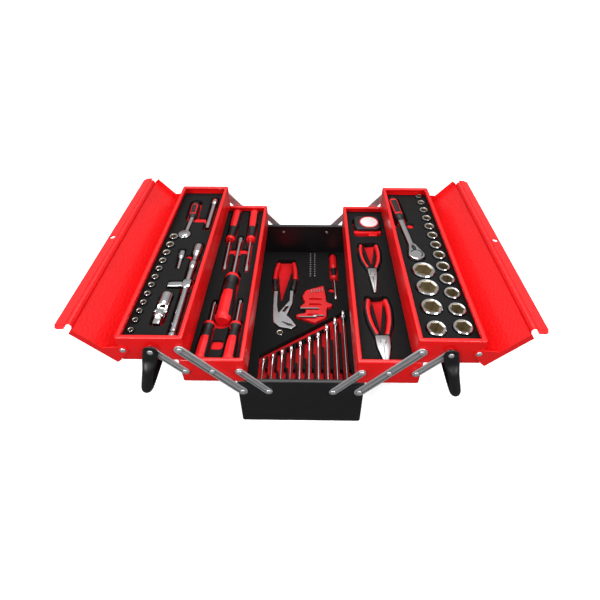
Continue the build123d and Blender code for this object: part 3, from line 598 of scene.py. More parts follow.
# The row of a socket's profile at which its well begins, as a share of them all
SOCKET_WELL_SHARE = 0.70
# The rows of a link's section between which the wall of its groove lies, as shares of them all, where
# painted shade darkens the plating
GROOVE_SHADE_ROWS = (0.49, 0.85)
FINISHES = {}


def finish_of(name):
    if not FINISHES:
        FINISHES.update(make_finishes())
    return FINISHES[name]


# Case


def rounded_rectangle(low, high, corner, depth):
    """The outline of a rectangle, moved in by a depth, with quarter circles for corners."""
    radius = max(corner - depth, LEAST_CORNER)
    middle = (np.asarray(low) + high) / 2
    reach = (np.asarray(high) - low) / 2 - depth - radius
    turn = np.linspace(0, np.pi / 2, 6)
    arcs = [
        middle + reach * sign + radius * np.stack([np.cos(turn + quarter), np.sin(turn + quarter)], -1)
        for sign, quarter in zip(((1, 1), (-1, 1), (-1, -1), (1, -1)), np.pi / 2 * np.arange(4))
    ]
    return np.concatenate(arcs)


RIM_WIDTH = 7 * MM
RIM_LIP = 4 * MM
SHEET = 1 * MM
LEAST_CORNER = 0.4 * MM


def tray_section(bottom, top, rim):
    """The section of a tray's wall as depths in from its outside and heights: up the outside,
    round the rim, down its lip, back under it and down the inside."""
    turn = np.linspace(0, np.pi / 2, 5)
    outer = np.stack([rim * (1 - np.cos(turn)), top - rim * (1 - np.sin(turn))], -1)
    inner = np.stack([RIM_WIDTH - rim * (1 - np.sin(turn)), top - rim * (1 - np.cos(turn))], -1)
    foot = np.stack([SHEET * (1 - np.sin(turn)), bottom + SHEET * (1 - np.cos(turn))], -1)
    lip = [(RIM_WIDTH, top - RIM_LIP), (RIM_WIDTH - SHEET, top - RIM_LIP)]
    under = [(RIM_WIDTH - SHEET, top - SHEET), (SHEET, top - SHEET), (SHEET, bottom + SHEET)]
    return np.concatenate([foot, outer, inner, lip, under])


class CASE_OT_trays(bpy.types.Operator):
    """Fold the five trays from sheet, with rims rolled in and down"""

    bl_idname = "case.trays"
    bl_label = "Trays"

    def execute(self, context):
        sizes = context.scene.case_sizes
        for name in ("bottom", *(f"{side}_{level}" for side in SIDES for level in ("middle", "upper"))):
            node = f"{name}_tray"
            low, high = (np.array(corner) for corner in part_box(node))
            section = tray_section(low[2], high[2], sizes.rim_round)
            rings = [
                np.insert(rounded_rectangle(low[:2], high[:2], sizes.corner_round, depth), 2, level, axis=1)
                for depth, level in section
            ]
            shape = Shape()
            shape.grid(np.stack(rings), capped=True)
            black = name == "bottom"
            paint, slot = ("black enamel", "black_paint") if black else ("red enamel", "red_paint")
            body = "base" if black else name
            shape.finish(f"{name}_case_tray", body, slot, paint, node, sharp=30)
        return {"FINISHED"}


class CASE_OT_lids(bpy.types.Operator):
    """Paint the two lids, whose folded sheet is already true in the frame"""

    bl_idname = "case.lids"
    bl_label = "Lids"

    def execute(self, context):
        for side in SIDES:
            paint_node(f"{side}_lid", "hammered enamel")
        return {"FINISHED"}


def paint_node(node, name):
    """Gives a solid of the frame its finish, and leaves its shape alone."""
    slots = frame["nodes"][node].data.materials
    slots.clear()
    slots.append(finish_of(name))


# Linkage


# Points round each end of a link
STADIUM_STEPS = 18


def stadium(start, end, radius):
    """Points round a bar with half-round ends, in X and Z."""
    way = unit(np.asarray(end) - start)
    square = np.array([-way[1], way[0]])
    turn = np.linspace(-np.pi / 2, np.pi / 2, STADIUM_STEPS)
    arc = np.cos(turn)[:, None] * way + np.sin(turn)[:, None] * square
    sides = np.linspace(0.02, 0.98, 12)[:, None]
    first, last = end + radius * square, start + radius * square
    run = first + sides * (last - first)
    back = run - 2 * radius * square
    return np.concatenate([end + radius * arc, run, start - radius * arc, back[::-1]])


def bar_section(half, edge, groove_half, groove):
    """Depths in from a bar's outline and heights over its back, from the edge of the back, over the
    rounded front edge, to the pressed groove along its middle."""
    turn = np.linspace(0, np.pi / 2, 4)
    front = np.stack([edge * (1 - np.cos(turn)), LINK_THICKNESS - edge * (1 - np.sin(turn))], -1)
    slope = np.linspace(0, 1, 7)
    dip = LINK_THICKNESS - groove * (0.5 - 0.5 * np.cos(np.pi * slope))
    press = np.stack([half - groove_half * (1 - 0.5 * slope), dip], -1)
    return np.concatenate([[(edge, 0.0), (0.0, edge)], front, press])


LINK_THICKNESS = 2.5 * MM
# Half the width of a link's groove, as a share of half the link's
GROOVE_SHARE = 0.58
# Each kind of link: its body, the joints at its ends, and its width in millimetres
LINKS = {
    "long_links": ("link", "open", "upper_level", 16.0),
    "lower_links": ("lower_link", "lower_link", None, 13.0),
    "upper_links": ("upper_link", "upper_link", "handle_fold", 13.0),
}


class CASE_OT_links(bpy.types.Operator):
    """Press the link bars, with rounded edges and a groove along each"""

    bl_idname = "case.links"
    bl_label = "Links"

    def execute(self, context):
        sizes = context.scene.case_sizes
        for side in SIDES:
            step = pivot(f"{side}_middle_level") - pivot(f"{side}_open")
            for kind, (body, first, last, width) in LINKS.items():
                node = f"{side}_{kind}"
                start = pivot(f"{side}_{first}")
                end = pivot(f"{side}_{last}") if last else start + step
                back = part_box(node)[1].y - LINK_THICKNESS
                half = width / 2 * MM
                section = bar_section(half, sizes.link_edge, GROOVE_SHARE * half, sizes.link_groove)
                rings = [
                    np.insert(stadium(start, end, half - depth), 1, -(back + level), axis=1)
                    for depth, level in section
                ]
                shape = Shape()
                shape.grid(np.stack(rings), capped=True)
                shape.mirrored(1)
                links = (f"{side}_pressed_{kind}", f"{side}_{body}", "plated_links")
                shape.finish(*links, "pressed plating", node, sharp=40)
        return {"FINISHED"}


RIVET_HEAD = 4.4 * MM
RIVET_SHANK = 2.4 * MM
# The closed ends that show inside the bottom tray
RIVET_TAIL = 3 * MM


class CASE_OT_rivets(bpy.types.Operator):
    """Set domed rivet heads over every pivot, on both ends of the case"""

    bl_idname = "case.rivets"
    bl_label = "Rivets"

    def execute(self, context):
        tray_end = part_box("bottom_tray")[1].y
        for node, piece in frame["nodes"].items():
            if "rivets" not in node:
                continue
            body = piece["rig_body"]
            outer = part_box(node)[1].y
            shape = Shape()
            for place in rivet_places(node):
                height = context.scene.case_sizes.rivet_height
                foot = (place[0], -(outer - height), place[1])
                wall = (place[0], -tray_end, place[1])
                domes(shape, [foot], (0, -1, 0), RIVET_HEAD, height)
                shape.grid(tube([wall, foot], RIVET_SHANK, sides=16), capped=True)
                if node == "bottom_tray_rivets":
                    tail = (place[0], -(tray_end - SHEET), place[1])
                    domes(shape, [tail], (0, 1, 0), RIVET_TAIL, height / 2)
            shape.mirrored(1)
            shape.finish(f"{node}_heads", body, "rivet_steel", "plating", node, sharp=50)
        return {"FINISHED"}


def rivet_places(node):
    """Where the rivets of a node stand, in X and Z."""
    if node == "bottom_tray_rivets":
        return [pivot(f"{each}_{joint}") for each in SIDES for joint in ("open", "lower_link")]
    side, part = node.split("_")[:2]
    if part == "middle":
        step = pivot(f"{side}_middle_level") - pivot(f"{side}_open")
        crossed = pivot(f"{side}_lower_link") + step
        return [pivot(f"{side}_middle_level"), crossed, pivot(f"{side}_upper_link")]
    joint = {"upper": "upper_level", "lid": "lid", "handle": "handle_fold"}[part]
    return [pivot(f"{side}_{joint}")]


HANDLE_HANG = np.radians(15.0)
HANDLE_RADIUS = 8 * MM
HANDLE_BEND = 28 * MM
HANDLE_REACH = 100 * MM
HANDLE_FLAT = 3 * MM
HANDLE_EYE = 11 * MM
# How far below the rivet the tube begins to be flattened, and is round
HANDLE_SQUASH = (18 * MM, 40 * MM)


def handle_leg(outer):
    """One leg and its bend, from over the rivet to the start of the grip: how far down it is, how far
    out along the case, and its half thickness and half width. It eases from round to flat."""
    tube_y, seat = outer - HANDLE_RADIUS, outer - 2 * HANDLE_RADIUS + HANDLE_FLAT / 2
    turn = np.linspace(0, np.pi / 2, 16)
    eye = -HANDLE_EYE * np.cos(np.linspace(0, np.pi / 2, 10))
    straight = np.linspace(0, HANDLE_REACH - HANDLE_BEND, 30)[1:-1]
    drop = np.concatenate([eye, straight, HANDLE_REACH - HANDLE_BEND * (1 - np.sin(turn))])
    bend = np.concatenate([np.zeros(len(drop) - len(turn)), HANDLE_BEND * (1 - np.cos(turn))])
    share = np.clip((drop - HANDLE_SQUASH[0]) / (HANDLE_SQUASH[1] - HANDLE_SQUASH[0]), 0, 1)
    flat = share * share * (3 - 2 * share)
    out = seat + (tube_y - seat) * flat - bend
    tip = np.sqrt(np.clip(1 - (np.minimum(drop, 0) / HANDLE_EYE) ** 2, 0.002, 1))
    wide = (HANDLE_EYE + (HANDLE_RADIUS - HANDLE_EYE) * flat) * tip
    thick = HANDLE_FLAT / 2 + (HANDLE_RADIUS - HANDLE_FLAT / 2) * flat
    return drop, out, thick, wide


class CASE_OT_handles(bpy.types.Operator):
    """Bend the two carrying handles from tube, with flattened ends on their rivets"""

    bl_idname = "case.handles"
    bl_label = "Handles"

    def execute(self, context):
        for side, sign in SIDES.items():
            node = f"{side}_handle"
            x, z = pivot(f"{side}_handle_swing")
            down = np.array([sign * np.sin(HANDLE_HANG), 0, -np.cos(HANDLE_HANG)])
            drop, out, thick, wide = handle_leg(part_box(node)[1].y)
            leg = (x, 0, z) + drop[:, None] * down - out[:, None] * np.array([0, 1, 0])
            path = np.concatenate([leg, leg[::-1] * (1, -1, 1)])
            thick, wide = (np.concatenate([half, half[::-1]]) for half in (thick, wide))
            shape = Shape()
            square = (down[2], 0, -down[0])
            shape.grid(tube(path, thick, wide, up=square, sides=24), capped=True)
            shape.finish(f"{side}_bail", node, "black_paint", "black enamel", node, sharp=40)
        return {"FINISHED"}


# Distances from outlines, in metres: positive inside a shape


def disc(x, y, centre, radius):
    return radius - np.hypot(x - centre[0], y - centre[1])


def capsule(x, y, start, end, radius, end_radius=None):
    """A round-ended bar between two points, whose radius changes evenly from one to the other."""
    start, end = np.asarray(start, float), np.asarray(end, float)
    way = end - start
    share = np.clip(((x - start[0]) * way[0] + (y - start[1]) * way[1]) / (way @ way), 0, 1)
    wide = radius + ((radius if end_radius is None else end_radius) - radius) * share
    return wide - np.hypot(x - start[0] - share * way[0], y - start[1] - share * way[1])


def pad(x, y, centre, half, corner):
    """A rectangle with round corners, given by its middle and half sizes."""
    out_x = np.abs(x - centre[0]) - half[0] + corner
    out_y = np.abs(y - centre[1]) - half[1] + corner
    outside = np.hypot(np.maximum(out_x, 0), np.maximum(out_y, 0))
    return corner - outside - np.minimum(np.maximum(out_x, out_y), 0)


def inside(x, y, corners):
    """The distance to the nearest edge of a closed outline, with its sign from the edges that a level
    line to the right crosses."""
    corners = np.asarray(corners, float)
    nearest = np.full(np.shape(x), np.inf)
    crossed = np.zeros(np.shape(x), bool)
    for (ax, ay), (bx, by) in zip(corners, np.roll(corners, -1, 0)):
        nearest = np.minimum(nearest, -capsule(x, y, (ax, ay), (bx, by), 0.0))
        if ay != by:
            meets = ax + (y - ay) * (bx - ax) / (by - ay)
            crossed ^= ((ay > y) != (by > y)) & (x < meets)
    return np.where(crossed, nearest, -nearest)


def bent(x, y, line, radius):
    """A strip of one width along a smooth line through points."""
    points = curved(line, 14)
    return np.max([capsule(x, y, a, b, radius) for a, b in zip(points, points[1:])], axis=0)


def any_of(parts):
    return np.max(parts, axis=0)


# How far outside its outline the foot of a wall stands
WALL_SLOPE = 0.25 * MM
# Points within the first number of steps of an outline move onto it, and those outside it within the
# second move to the foot of its wall
ONTO_OUTLINE = 0.6
BESIDE_OUTLINE = 2.2
# The least slope of a distance that a move is worked out from
LEAST_SLOPE = 0.3


def relief(shape, limits, distance, top, bottom, step, edge=0.0):
    """A level face cut by an outline. Points within about half a step of the outline move onto it,
    along the slope of the distance, and the next ones outside it move close beside it and drop to
    the bottom, which makes the wall. Within an edge of the outline the face falls in a quarter
    circle. Cells outside are left out."""
    (x0, x1), (y0, y1) = limits
    across = np.linspace(x0, x1, max(int((x1 - x0) / step), 4) + 1)
    along = np.linspace(y0, y1, max(int((y1 - y0) / step), 4) + 1)
    x, y = np.meshgrid(across, along)
    depth = distance(x, y)
    slope_y, slope_x = np.gradient(depth, along, across)
    slope = np.maximum(np.hypot(slope_x, slope_y), LEAST_SLOPE)
    at_edge = np.abs(depth) < ONTO_OUTLINE * step
    outside = depth <= -ONTO_OUTLINE * step
    beside = outside & (depth > -BESIDE_OUTLINE * step)
    shift = np.where(at_edge, -depth, np.where(beside, -WALL_SLOPE - depth, 0)) / slope**2
    x, y = x + shift * slope_x, y + shift * slope_y
    fall = np.clip(1 - np.maximum(depth, 0) / edge, 0, 1) if edge else np.zeros_like(depth)
    fall[at_edge] = 1.0 if edge else 0.0
    face = top - edge * (1 - np.sqrt(1 - fall**2))
    z = np.where(outside, bottom, face)
    lowered = outside[:-1, :-1] & outside[1:, :-1] & outside[:-1, 1:] & outside[1:, 1:]
    shape.grid(np.stack([x, y, z], -1), around=False, keep=~lowered)


# Foam


# How far a pocket stands off from its tool
FOAM_MARGIN = 1.6
# Sockets: how far in from the tray's outer edge and where along the case they stand, and how wide
SMALL_ROW = [
    (17.6, 48, 16.0), (17.0, 23, 15.5), (16.5, -1, 14.0), (16.0, -24, 13.0), (15.5, -46, 12.0),
    (15.0, -68, 11.5), (14.5, -88, 11.0), (14.1, -109, 10.5), (13.7, -129, 10.0),
    (13.3, -148, 9.5), (12.9, -167, 9.0), (12.5, -187, 8.5),
]
MEDIUM_ROW = [
    (18.5, 203, 14.0), (18.5, 177, 15.0), (18.5, 148, 17.0), (18.5, 118, 18.0), (19.0, 89, 19.5),
    (19.0, 59, 20.5), (19.5, 29, 21.0), (19.5, -1, 23.0), (20.0, -33, 24.5), (20.5, -66, 26.0),
    (20.5, -100, 26.5), (21.5, -137, 28.0), (22.0, -174, 30.0),
]
LARGE_ROW = [(56.0, -43, 40.0), (58.0, -87, 38.0), (60.5, -132, 34.5), (63.0, -177, 30.0)]
# Screwdrivers: the end, the ferrule and the tip, and the radii of the grip and the blade
SCREWDRIVERS = [
    ((31, 210), (29, 101), (31, 10), 10.5, 2.6),
    ((69, 210), (72, 101), (74, 6), 10.5, 2.6),
    ((50, -124), (51, -10), (50, 112), 14.5, 3.6),
    ((28, -206), (30, -128), (29, -78), 10.5, 2.4),
    ((72, -206), (74, -128), (74, -73), 10.5, 2.4),
]
SCREWDRIVER_HEIGHT = 10.5
# The small screwdriver's end, ferrule and tip, and its pockets' radii about its grip and its blade
SMALL_DRIVER_LINE = ((66.5, 202), (67, 117), (69, 55))
SMALL_DRIVER_POCKETS = (8.5, 3)
# The middle of the small ratchet's head
SMALL_HEAD = (35, 59)
# The large ratchet's pear head: the middles of its round end and its narrow end, and their radii
PEAR = ((61, -2), (63.5, 22))
PEAR_RADII = (15, 8)
# The pockets round the large ratchet's shank, as an outline, and its grip, as a line and a radius
SHANK_POCKET = [(78, 112), (66, 112), (57, 20), (69, 16)]
LARGE_GRIP_POCKET = ((72.5, 114), (78, 188), 14)
TAPE_POCKET = ((19, 79), (119, 184), 9)
# The middle of the bit adapter, and the radius of its pocket
ADAPTER = (-46, -45)
ADAPTER_POCKET = 7.3
# The width of a grip of each pair of pliers
LONG_NOSE_WIDTH, COMBINATION_WIDTH, PUMP_WIDTH = 9.5, 11, 11
# The foam cut out between the grips of each pair
LONG_NOSE_BETWEEN = [(63, 96), (38, 98), (52, 21)]
COMBINATION_BETWEEN = [(63, -63), (40, -62), (54, -149)]
PUMP_BETWEEN = [(-66, 182), (-22, 184), (-48, 40)]
# The outline of each head, and the lines that its grips follow
LONG_NOSE_HEAD = [(61, 14), (44, 14), (44, 4), (45.5, -16), (51.5, -52), (56, -52), (59, -16), (61, 4)]
LONG_NOSE_GRIPS = [[(68, 90), (71, 66), (68, 36), (59, 11)], [(37, 90), (34.5, 66), (37, 36), (46, 11)]]
COMBINATION_HEAD = [(65, -152), (41, -152), (41.5, -175), (49, -204), (57, -204), (64, -176)]
COMBINATION_GRIPS = [
    [(68, -66), (72, -94), (69, -126), (60, -156)],
    [(38, -66), (34.5, -94), (37, -126), (45, -156)],
]
PUMP_HEAD = [
    (-65, 30), (-63, -4), (-61, -19), (-49, -31), (-23, -37), (-14, -27), (-26, -8), (-34, 1),
    (-24, 37), (-23, 74), (-31, 74), (-31, 44), (-52, 8), (-56, 30), (-57, 72), (-66, 72),
]
PUMP_GRIPS = [
    [(-63, 73), (-66, 110), (-65, 140), (-60, 170)],
    [(-25, 75), (-21, 110), (-22, 140), (-27, 172)],
]
# The key holder's outline
HOLDER = [
    (-4, 54), (3, 74), (43, 90), (47, 55), (48, 38), (60, 34), (60, 26), (48, 22), (47, -5),
    (23, -20), (-17, -3), (-12, 4), (4, 6), (4, 21), (-10, 23), (3, 37),
]
# Wrenches: where along the case each ring lies, how they are spaced across, and where their jaws end
WRENCH_RING_Y = [-110, -101, -92, -85, -74, -63, -54, -36, -18, 0]
WRENCH_PITCH = 17.0
WRENCH_FIRST_X = -72.5
WRENCH_FRONT_Y = -206.0
# How far a wrench's slot stands off from it, and how much wider its two steps are
WRENCH_SLACK = 2
WRENCH_STEP = 4.5
# The steps' limits along the case: the first from each wrench's ring, the second the same for all
RING_STEP = (-42, 2)
SHANK_STEP = (-151, -129)
# The finger cut-out that crosses all the wrenches, just in front of their rings
WRENCH_SLANT = [(-82, -113), (80, -6), (80, 13), (-82, -98)]
BIT_COLUMNS = (13.0, 23.0)
BIT_ROWS = 11
BIT_BACK_Y = 206.0
BIT_PITCH = 8.0


def wrench_sizes(index):
    """The ring's radius and the thickness of one of the wrenches, in millimetres."""
    share = index / (len(WRENCH_RING_Y) - 1)
    return 7 + 6 * share, 4.5 + 2.5 * share


def sockets_cut(bay, x, y, row):
    return any_of([disc(x, y, bay.flat((u, v)), (d / 2 + SOCKET_SLACK) * MM) for u, v, d in row])


def line_cut(bay, x, y, start, end, radius, end_radius=None):
    """A pocket round a straight tool, in the bed's own millimetres."""
    wide = (radius + FOAM_MARGIN) * MM
    narrow = wide if end_radius is None else (end_radius + FOAM_MARGIN) * MM
    return capsule(x, y, bay.flat(start), bay.flat(end), wide, narrow)


def box_cut(bay, x, y, across, along, corner=2.0):
    low, high = (bay.flat(corner_at) for corner_at in zip(across, along))
    return pad(x, y, (low + high) / 2, np.abs(high - low) / 2, corner * MM)


def outline_cut(bay, x, y, corners, margin=FOAM_MARGIN):
    return inside(x, y, bay.flat(corners)) + margin * MM


def bottom_cuts(bay, x, y):
    cuts = [
        outline_cut(bay, x, y, PUMP_HEAD),
        *(bent(x, y, bay.flat(line), (PUMP_WIDTH / 2 + FOAM_MARGIN) * MM) for line in PUMP_GRIPS),
        outline_cut(bay, x, y, PUMP_BETWEEN, 0),
        outline_cut(bay, x, y, HOLDER),
        outline_cut(bay, x, y, WRENCH_SLANT, 0),
        line_cut(bay, x, y, *SMALL_DRIVER_LINE[:2], SMALL_DRIVER_POCKETS[0]),
        line_cut(bay, x, y, *SMALL_DRIVER_LINE[1:], SMALL_DRIVER_POCKETS[1]),
        disc(x, y, bay.flat(ADAPTER), ADAPTER_POCKET * MM),
    ]
    for index, ring in enumerate(WRENCH_RING_Y):
        radius, thick = wrench_sizes(index)
        centre = WRENCH_FIRST_X + WRENCH_PITCH * index
        left, right = centre - thick / 2 - WRENCH_SLACK, centre + thick / 2 + WRENCH_SLACK
        slots = (
            ((left, right), (WRENCH_FRONT_Y - WRENCH_SLACK, ring + radius + WRENCH_SLACK)),
            ((left - WRENCH_STEP, right), (ring + RING_STEP[0], ring + RING_STEP[1])),
            ((left, right + WRENCH_STEP), SHANK_STEP),
        )
        cuts += [box_cut(bay, x, y, *slot) for slot in slots]
    return any_of(cuts)


def left_middle_cuts(bay, x, y):
    cuts = []
    for end, ferrule, tip, radius, blade in SCREWDRIVERS:
        cuts.append(line_cut(bay, x, y, end, ferrule, radius, radius - 1))
        cuts.append(line_cut(bay, x, y, ferrule, tip, blade + 1.5))
    return any_of(cuts)


def plier_cuts(bay, x, y, head, grips, width, gap):
    strips = [bent(x, y, bay.flat(line), (width / 2 + FOAM_MARGIN) * MM) for line in grips]
    return [outline_cut(bay, x, y, head), outline_cut(bay, x, y, gap, 0), *strips]


def right_middle_cuts(bay, x, y):
    pairs = (
        (LONG_NOSE_HEAD, LONG_NOSE_GRIPS, LONG_NOSE_WIDTH, LONG_NOSE_BETWEEN),
        (COMBINATION_HEAD, COMBINATION_GRIPS, COMBINATION_WIDTH, COMBINATION_BETWEEN),
    )
    cuts = [cut for pair in pairs for cut in plier_cuts(bay, x, y, *pair)]
    return any_of([*cuts, box_cut(bay, x, y, *TAPE_POCKET)])


def left_upper_cuts(bay, x, y):
    """Pockets along lines, by their ends and radii, and others round sockets and cross pieces."""
    lines = (
        (SMALL_HEAD, (35, 59.1), 12), ((37, 116), (35.5, 62), 4.5), ((34, 172), (37, 118), 12),
        ((72, 188), (74, 82), 7.5), ((43, 8), (46, -39), 6.5, 4), ((71, 23), (71.5, -73), 9, 7.5),
        ((72, -94), (75, -202), 7.5),
    )
    cuts = [
        sockets_cut(bay, x, y, SMALL_ROW),
        *(line_cut(bay, x, y, *line) for line in lines),
        box_cut(bay, x, y, (39, 88), (-94, -72)),
        box_cut(bay, x, y, (34, 58), (-176, -106), 8),
    ]
    return any_of(cuts)


def right_upper_cuts(bay, x, y):
    cuts = [
        sockets_cut(bay, x, y, MEDIUM_ROW + LARGE_ROW),
        line_cut(bay, x, y, *PEAR, *PEAR_RADII),
        outline_cut(bay, x, y, SHANK_POCKET, 1.5),
        line_cut(bay, x, y, *LARGE_GRIP_POCKET),
    ]
    return any_of(cuts)


# Recesses for a finger, which are shallower than the tools' pockets: their limits across and along
# the bed, and the radius of their corners
FINGER_RECESSES = {
    "bottom": [((52, 66), (73, 87), 7)],
    "left_middle": [((33, 69), (57, 73), 6), ((40, 60), (-183, -164), 6)],
    "right_middle": [],
    "left_upper": [((43, 66), (101, 118), 6), ((53, 63), (-13, -3), 5)],
    "right_upper": [((48, 62), (86, 103), 6), ((81, 92), (86, 103), 5)],
}
FINGER_FLOOR = 6.8 * MM
# The round corners of the foam sheets, and the slack round a socket in millimetres
SHEET_CORNER = 2 * MM
SOCKET_SLACK = 0.7


def recesses_cut(bay, x, y):
    """The finger recesses of a bed, or far outside everything where it has none."""
    boxes = FINGER_RECESSES[bay.name]
    if not boxes:
        return np.full(np.shape(x), -1.0)
    return any_of([box_cut(bay, x, y, *box) for box in boxes])


BEDS = {
    "bottom": (-1, bottom_cuts),
    "left_middle": (-1, left_middle_cuts),
    "right_middle": (1, right_middle_cuts),
    "left_upper": (-1, left_upper_cuts),
    "right_upper": (1, right_upper_cuts),
}


def bays():
    return {name: Bay(name, side) for name, (side, _) in BEDS.items()}


class CASE_OT_foams(bpy.types.Operator):
    """Cut the black foam sheets round the tools, over the red sheets that show in the cuts"""

    bl_idname = "case.foams"
    bl_label = "Foam beds"

    def execute(self, context):
        step = context.scene.case_sizes.foam_step
        for name, bay in bays().items():
            cuts = BEDS[name][1]
            middle, half = (bay.low + bay.high)[:2] / 2, (bay.high - bay.low)[:2] / 2
            beyond = 3 * step
            limits = [(m - h - beyond, m + h + beyond) for m, h in zip(middle, half)]

            def left_standing(x, y):
                """The foam that is left: outside every cut, and inside the sheet's own outline."""
                cut = np.maximum(cuts(bay, x, y), recesses_cut(bay, x, y))
                return np.minimum(-cut, pad(x, y, middle, half, SHEET_CORNER))

            shape = Shape()
            relief(shape, limits, left_standing, bay.top, bay.liner, step, edge=0.5 * MM)
            black = (f"{name}_cut_foam", bay.body, "black_foam", "black foam", f"{name}_foam")
            shape.finish(*black, sharp=40, closed=False)
            red = Shape()
            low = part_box(f"{name}_foam_liner")[0].z
            wells = {"left_upper": SMALL_ROW, "right_upper": MEDIUM_ROW + LARGE_ROW}.get(name, [])

            def unbored(x, y):
                """The red sheet, less a bore under each socket."""
                sheet = pad(x, y, middle, half, SHEET_CORNER)
                return np.minimum(sheet, -sockets_cut(bay, x, y, wells)) if wells else sheet

            relief(red, limits, unbored, bay.liner, low, 1.5 * step)
            for across, along, corner in FINGER_RECESSES[name]:
                around = limits_round(bay.flat(list(zip(across, along))), 4 * MM)

                def recess(x, y, box=(across, along, corner)):
                    return box_cut(bay, x, y, *box)

                relief(red, around, recess, bay.liner + FINGER_FLOOR, bay.liner, step)
            lining = (f"{name}_red_foam", bay.body, "red_foam", "red foam", f"{name}_foam_liner")
            red.finish(*lining, sharp=40, closed=False)
        return {"FINISHED"}


# Tools


def socket_profile(radius, length, columns):
    """Rings of a socket from its foot, up its outside, over its mouth and down the hexagon in it. The
    hexagon's radius at an angle is its flat's distance over the cosine of the angle from that flat."""
    mouth = 0.75 * radius
    turn = np.linspace(0, 2 * np.pi, columns, endpoint=False)
    sixth = np.pi / 3
    hexagon = mouth * np.cos(sixth / 2) / np.cos(turn % sixth - sixth / 2)
    edge = 0.08 * radius
    outside = [
        (radius * 0.9, 0.0), (radius, edge), (radius, length * 0.36), (radius * 0.95, length * 0.4),
        (radius * 0.95, length * 0.46), (radius, length * 0.5), (radius, length - edge),
        (radius - edge, length), (mouth + edge, length),
    ]
    rings = [np.column_stack([np.full(columns, r), np.full(columns, z)]) for r, z in outside]
    inner = [(1.0, length - edge), (1.0, length * 0.7), (0.99, length * 0.4), (0.5, length * 0.4)]
    rings += [np.column_stack([hexagon * share, np.full(columns, z)]) for share, z in inner]
    rings = np.stack(rings)
    return np.stack([rings[..., 0] * np.cos(turn), rings[..., 0] * np.sin(turn), rings[..., 1]], -1)


class CASE_OT_sockets(bpy.types.Operator):
    """Turn the rows of sockets, with a hexagon mouth, and stand them in their foam"""

    bl_idname = "case.sockets"
    bl_label = "Sockets"

    def execute(self, context):
        rows = (
            ("left_upper", "small_sockets", SMALL_ROW),
            ("right_upper", "large_sockets", MEDIUM_ROW + LARGE_ROW),
        )
        for tray, node, row in rows:
            bay = bays()[tray]
            low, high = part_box(node)
            shape = Shape()
            for inward, along, diameter in row:
                foot = np.array([bay.x(inward), along * MM, low.z])
                shape.grid(socket_profile(diameter / 2 * MM, high.z - low.z, 48) + foot, capped=True)
            shape.finish(f"turned_{node}", bay.body, "tool_chrome", "socket", node, sharp=30)
        return {"FINISHED"}


def square_bar(shape, bay, start, end, half):
    """A bar of square section with softened corners, in a bed's own millimetres."""
    path = np.linspace(bay.at(*start), bay.at(*end), 6)
    across = half * MM * np.array([0.9, 1, 1, 1, 1, 0.9])
    shape.grid(tube(path, across, sides=32, power=7.0), capped=True)


def lever_ring(shape, centre, radius, ends, steps, wide, thick):
    """A flat open ring, in degrees and millimetres, along radius * (cos(a), sin(a)) round a point."""
    turn = np.linspace(*np.radians(ends), steps)
    ring = np.stack([np.cos(turn), np.sin(turn), np.zeros_like(turn)], -1) * radius * MM
    shape.grid(tube(ring + centre, wide * MM, thick * MM, sides=12), capped=True)


# The small ratchet's head: the height of its top, and radii at shares of it
SMALL_HEAD_TOP = 13.8
SMALL_HEAD_RADII = [
    (0, 11.16), (0.06, 12), (0.52, 12), (0.56, 11.52), (0.6, 12), (0.93, 12), (1, 10.32),
]
# Turned pieces: the ends of their middle lines, and radii at shares of the way
SMALL_NECK = ((37, 117, 9), (35.6, 66, 8.5), [(0, 5.4), (0.2, 5.0), (0.8, 4.8), (1, 5.8)])
SMALL_GRIP = (
    (37, 116, 9), (34, 172, 9),
    [(0.02, 6), (0.08, 8), (0.15, 8.5), (0.45, 8.1), (0.75, 9), (0.93, 8.6), (1, 6)],
)
EXTENSION_BARS = (
    (
        (72, 188, 7.5), (74, 82, 7.5),
        [(0, 7), (0.02, 7.5), (0.13, 7.5), (0.17, 5.5), (0.5, 5.4), (0.88, 5.6), (0.9, 5), (1, 5)],
    ),
    (
        (71, 23, 9), (71.5, -73.7, 9),
        [(0, 8.6), (0.02, 9), (0.22, 9), (0.32, 5.5), (0.45, 5.7), (0.5, 7.5), (0.62, 7.2), (0.68, 6),
         (1, 5.5)],
    ),
    ((43, 8, 6.5), (46, -39, 6.5), [(0, 6.2), (0.03, 6.5), (0.33, 6.5), (0.42, 4), (0.95, 3.1), (1, 2.8)]),
)
SLIDING_BAR = (
    (72, -88, 8), (75, -202, 8),
    [(0, 6), (0.86, 6), (0.875, 5.4), (0.89, 7.5), (0.985, 7.5), (1, 6.6)],
)
JOINT_BODY = ((46, -108, 10), (46, -136, 10), [(0, 9.4), (0.05, 10), (0.8, 10), (1, 9)])
JOINT_COLLAR = ((46, -151, 10), (46, -160, 10), [(0, 9), (0.15, 10), (0.85, 10), (1, 9)])
# Square pieces: the ends of their middle lines, and half their width
SLIDING_BLOCKS = [((72, -74, 8), (72, -92, 8), 7.8), ((66, -83, 8), (41, -83, 7.5), 5.6)]
JOINT_TINES = [((u, -134, 10), (u, -149, 10), 2.5) for u in (39.5, 52.5)]
JOINT_MIDDLE = ((46, -139, 10), (46, -154, 10), 4)
JOINT_DRIVE = ((46, -159, 10), (46, -174, 10), 5.7)
# The round pin through the universal joint's tines
JOINT_YOKE = [(36.5, -144, 10), (55.5, -144, 10)]
JOINT_YOKE_RADIUS = 3.4


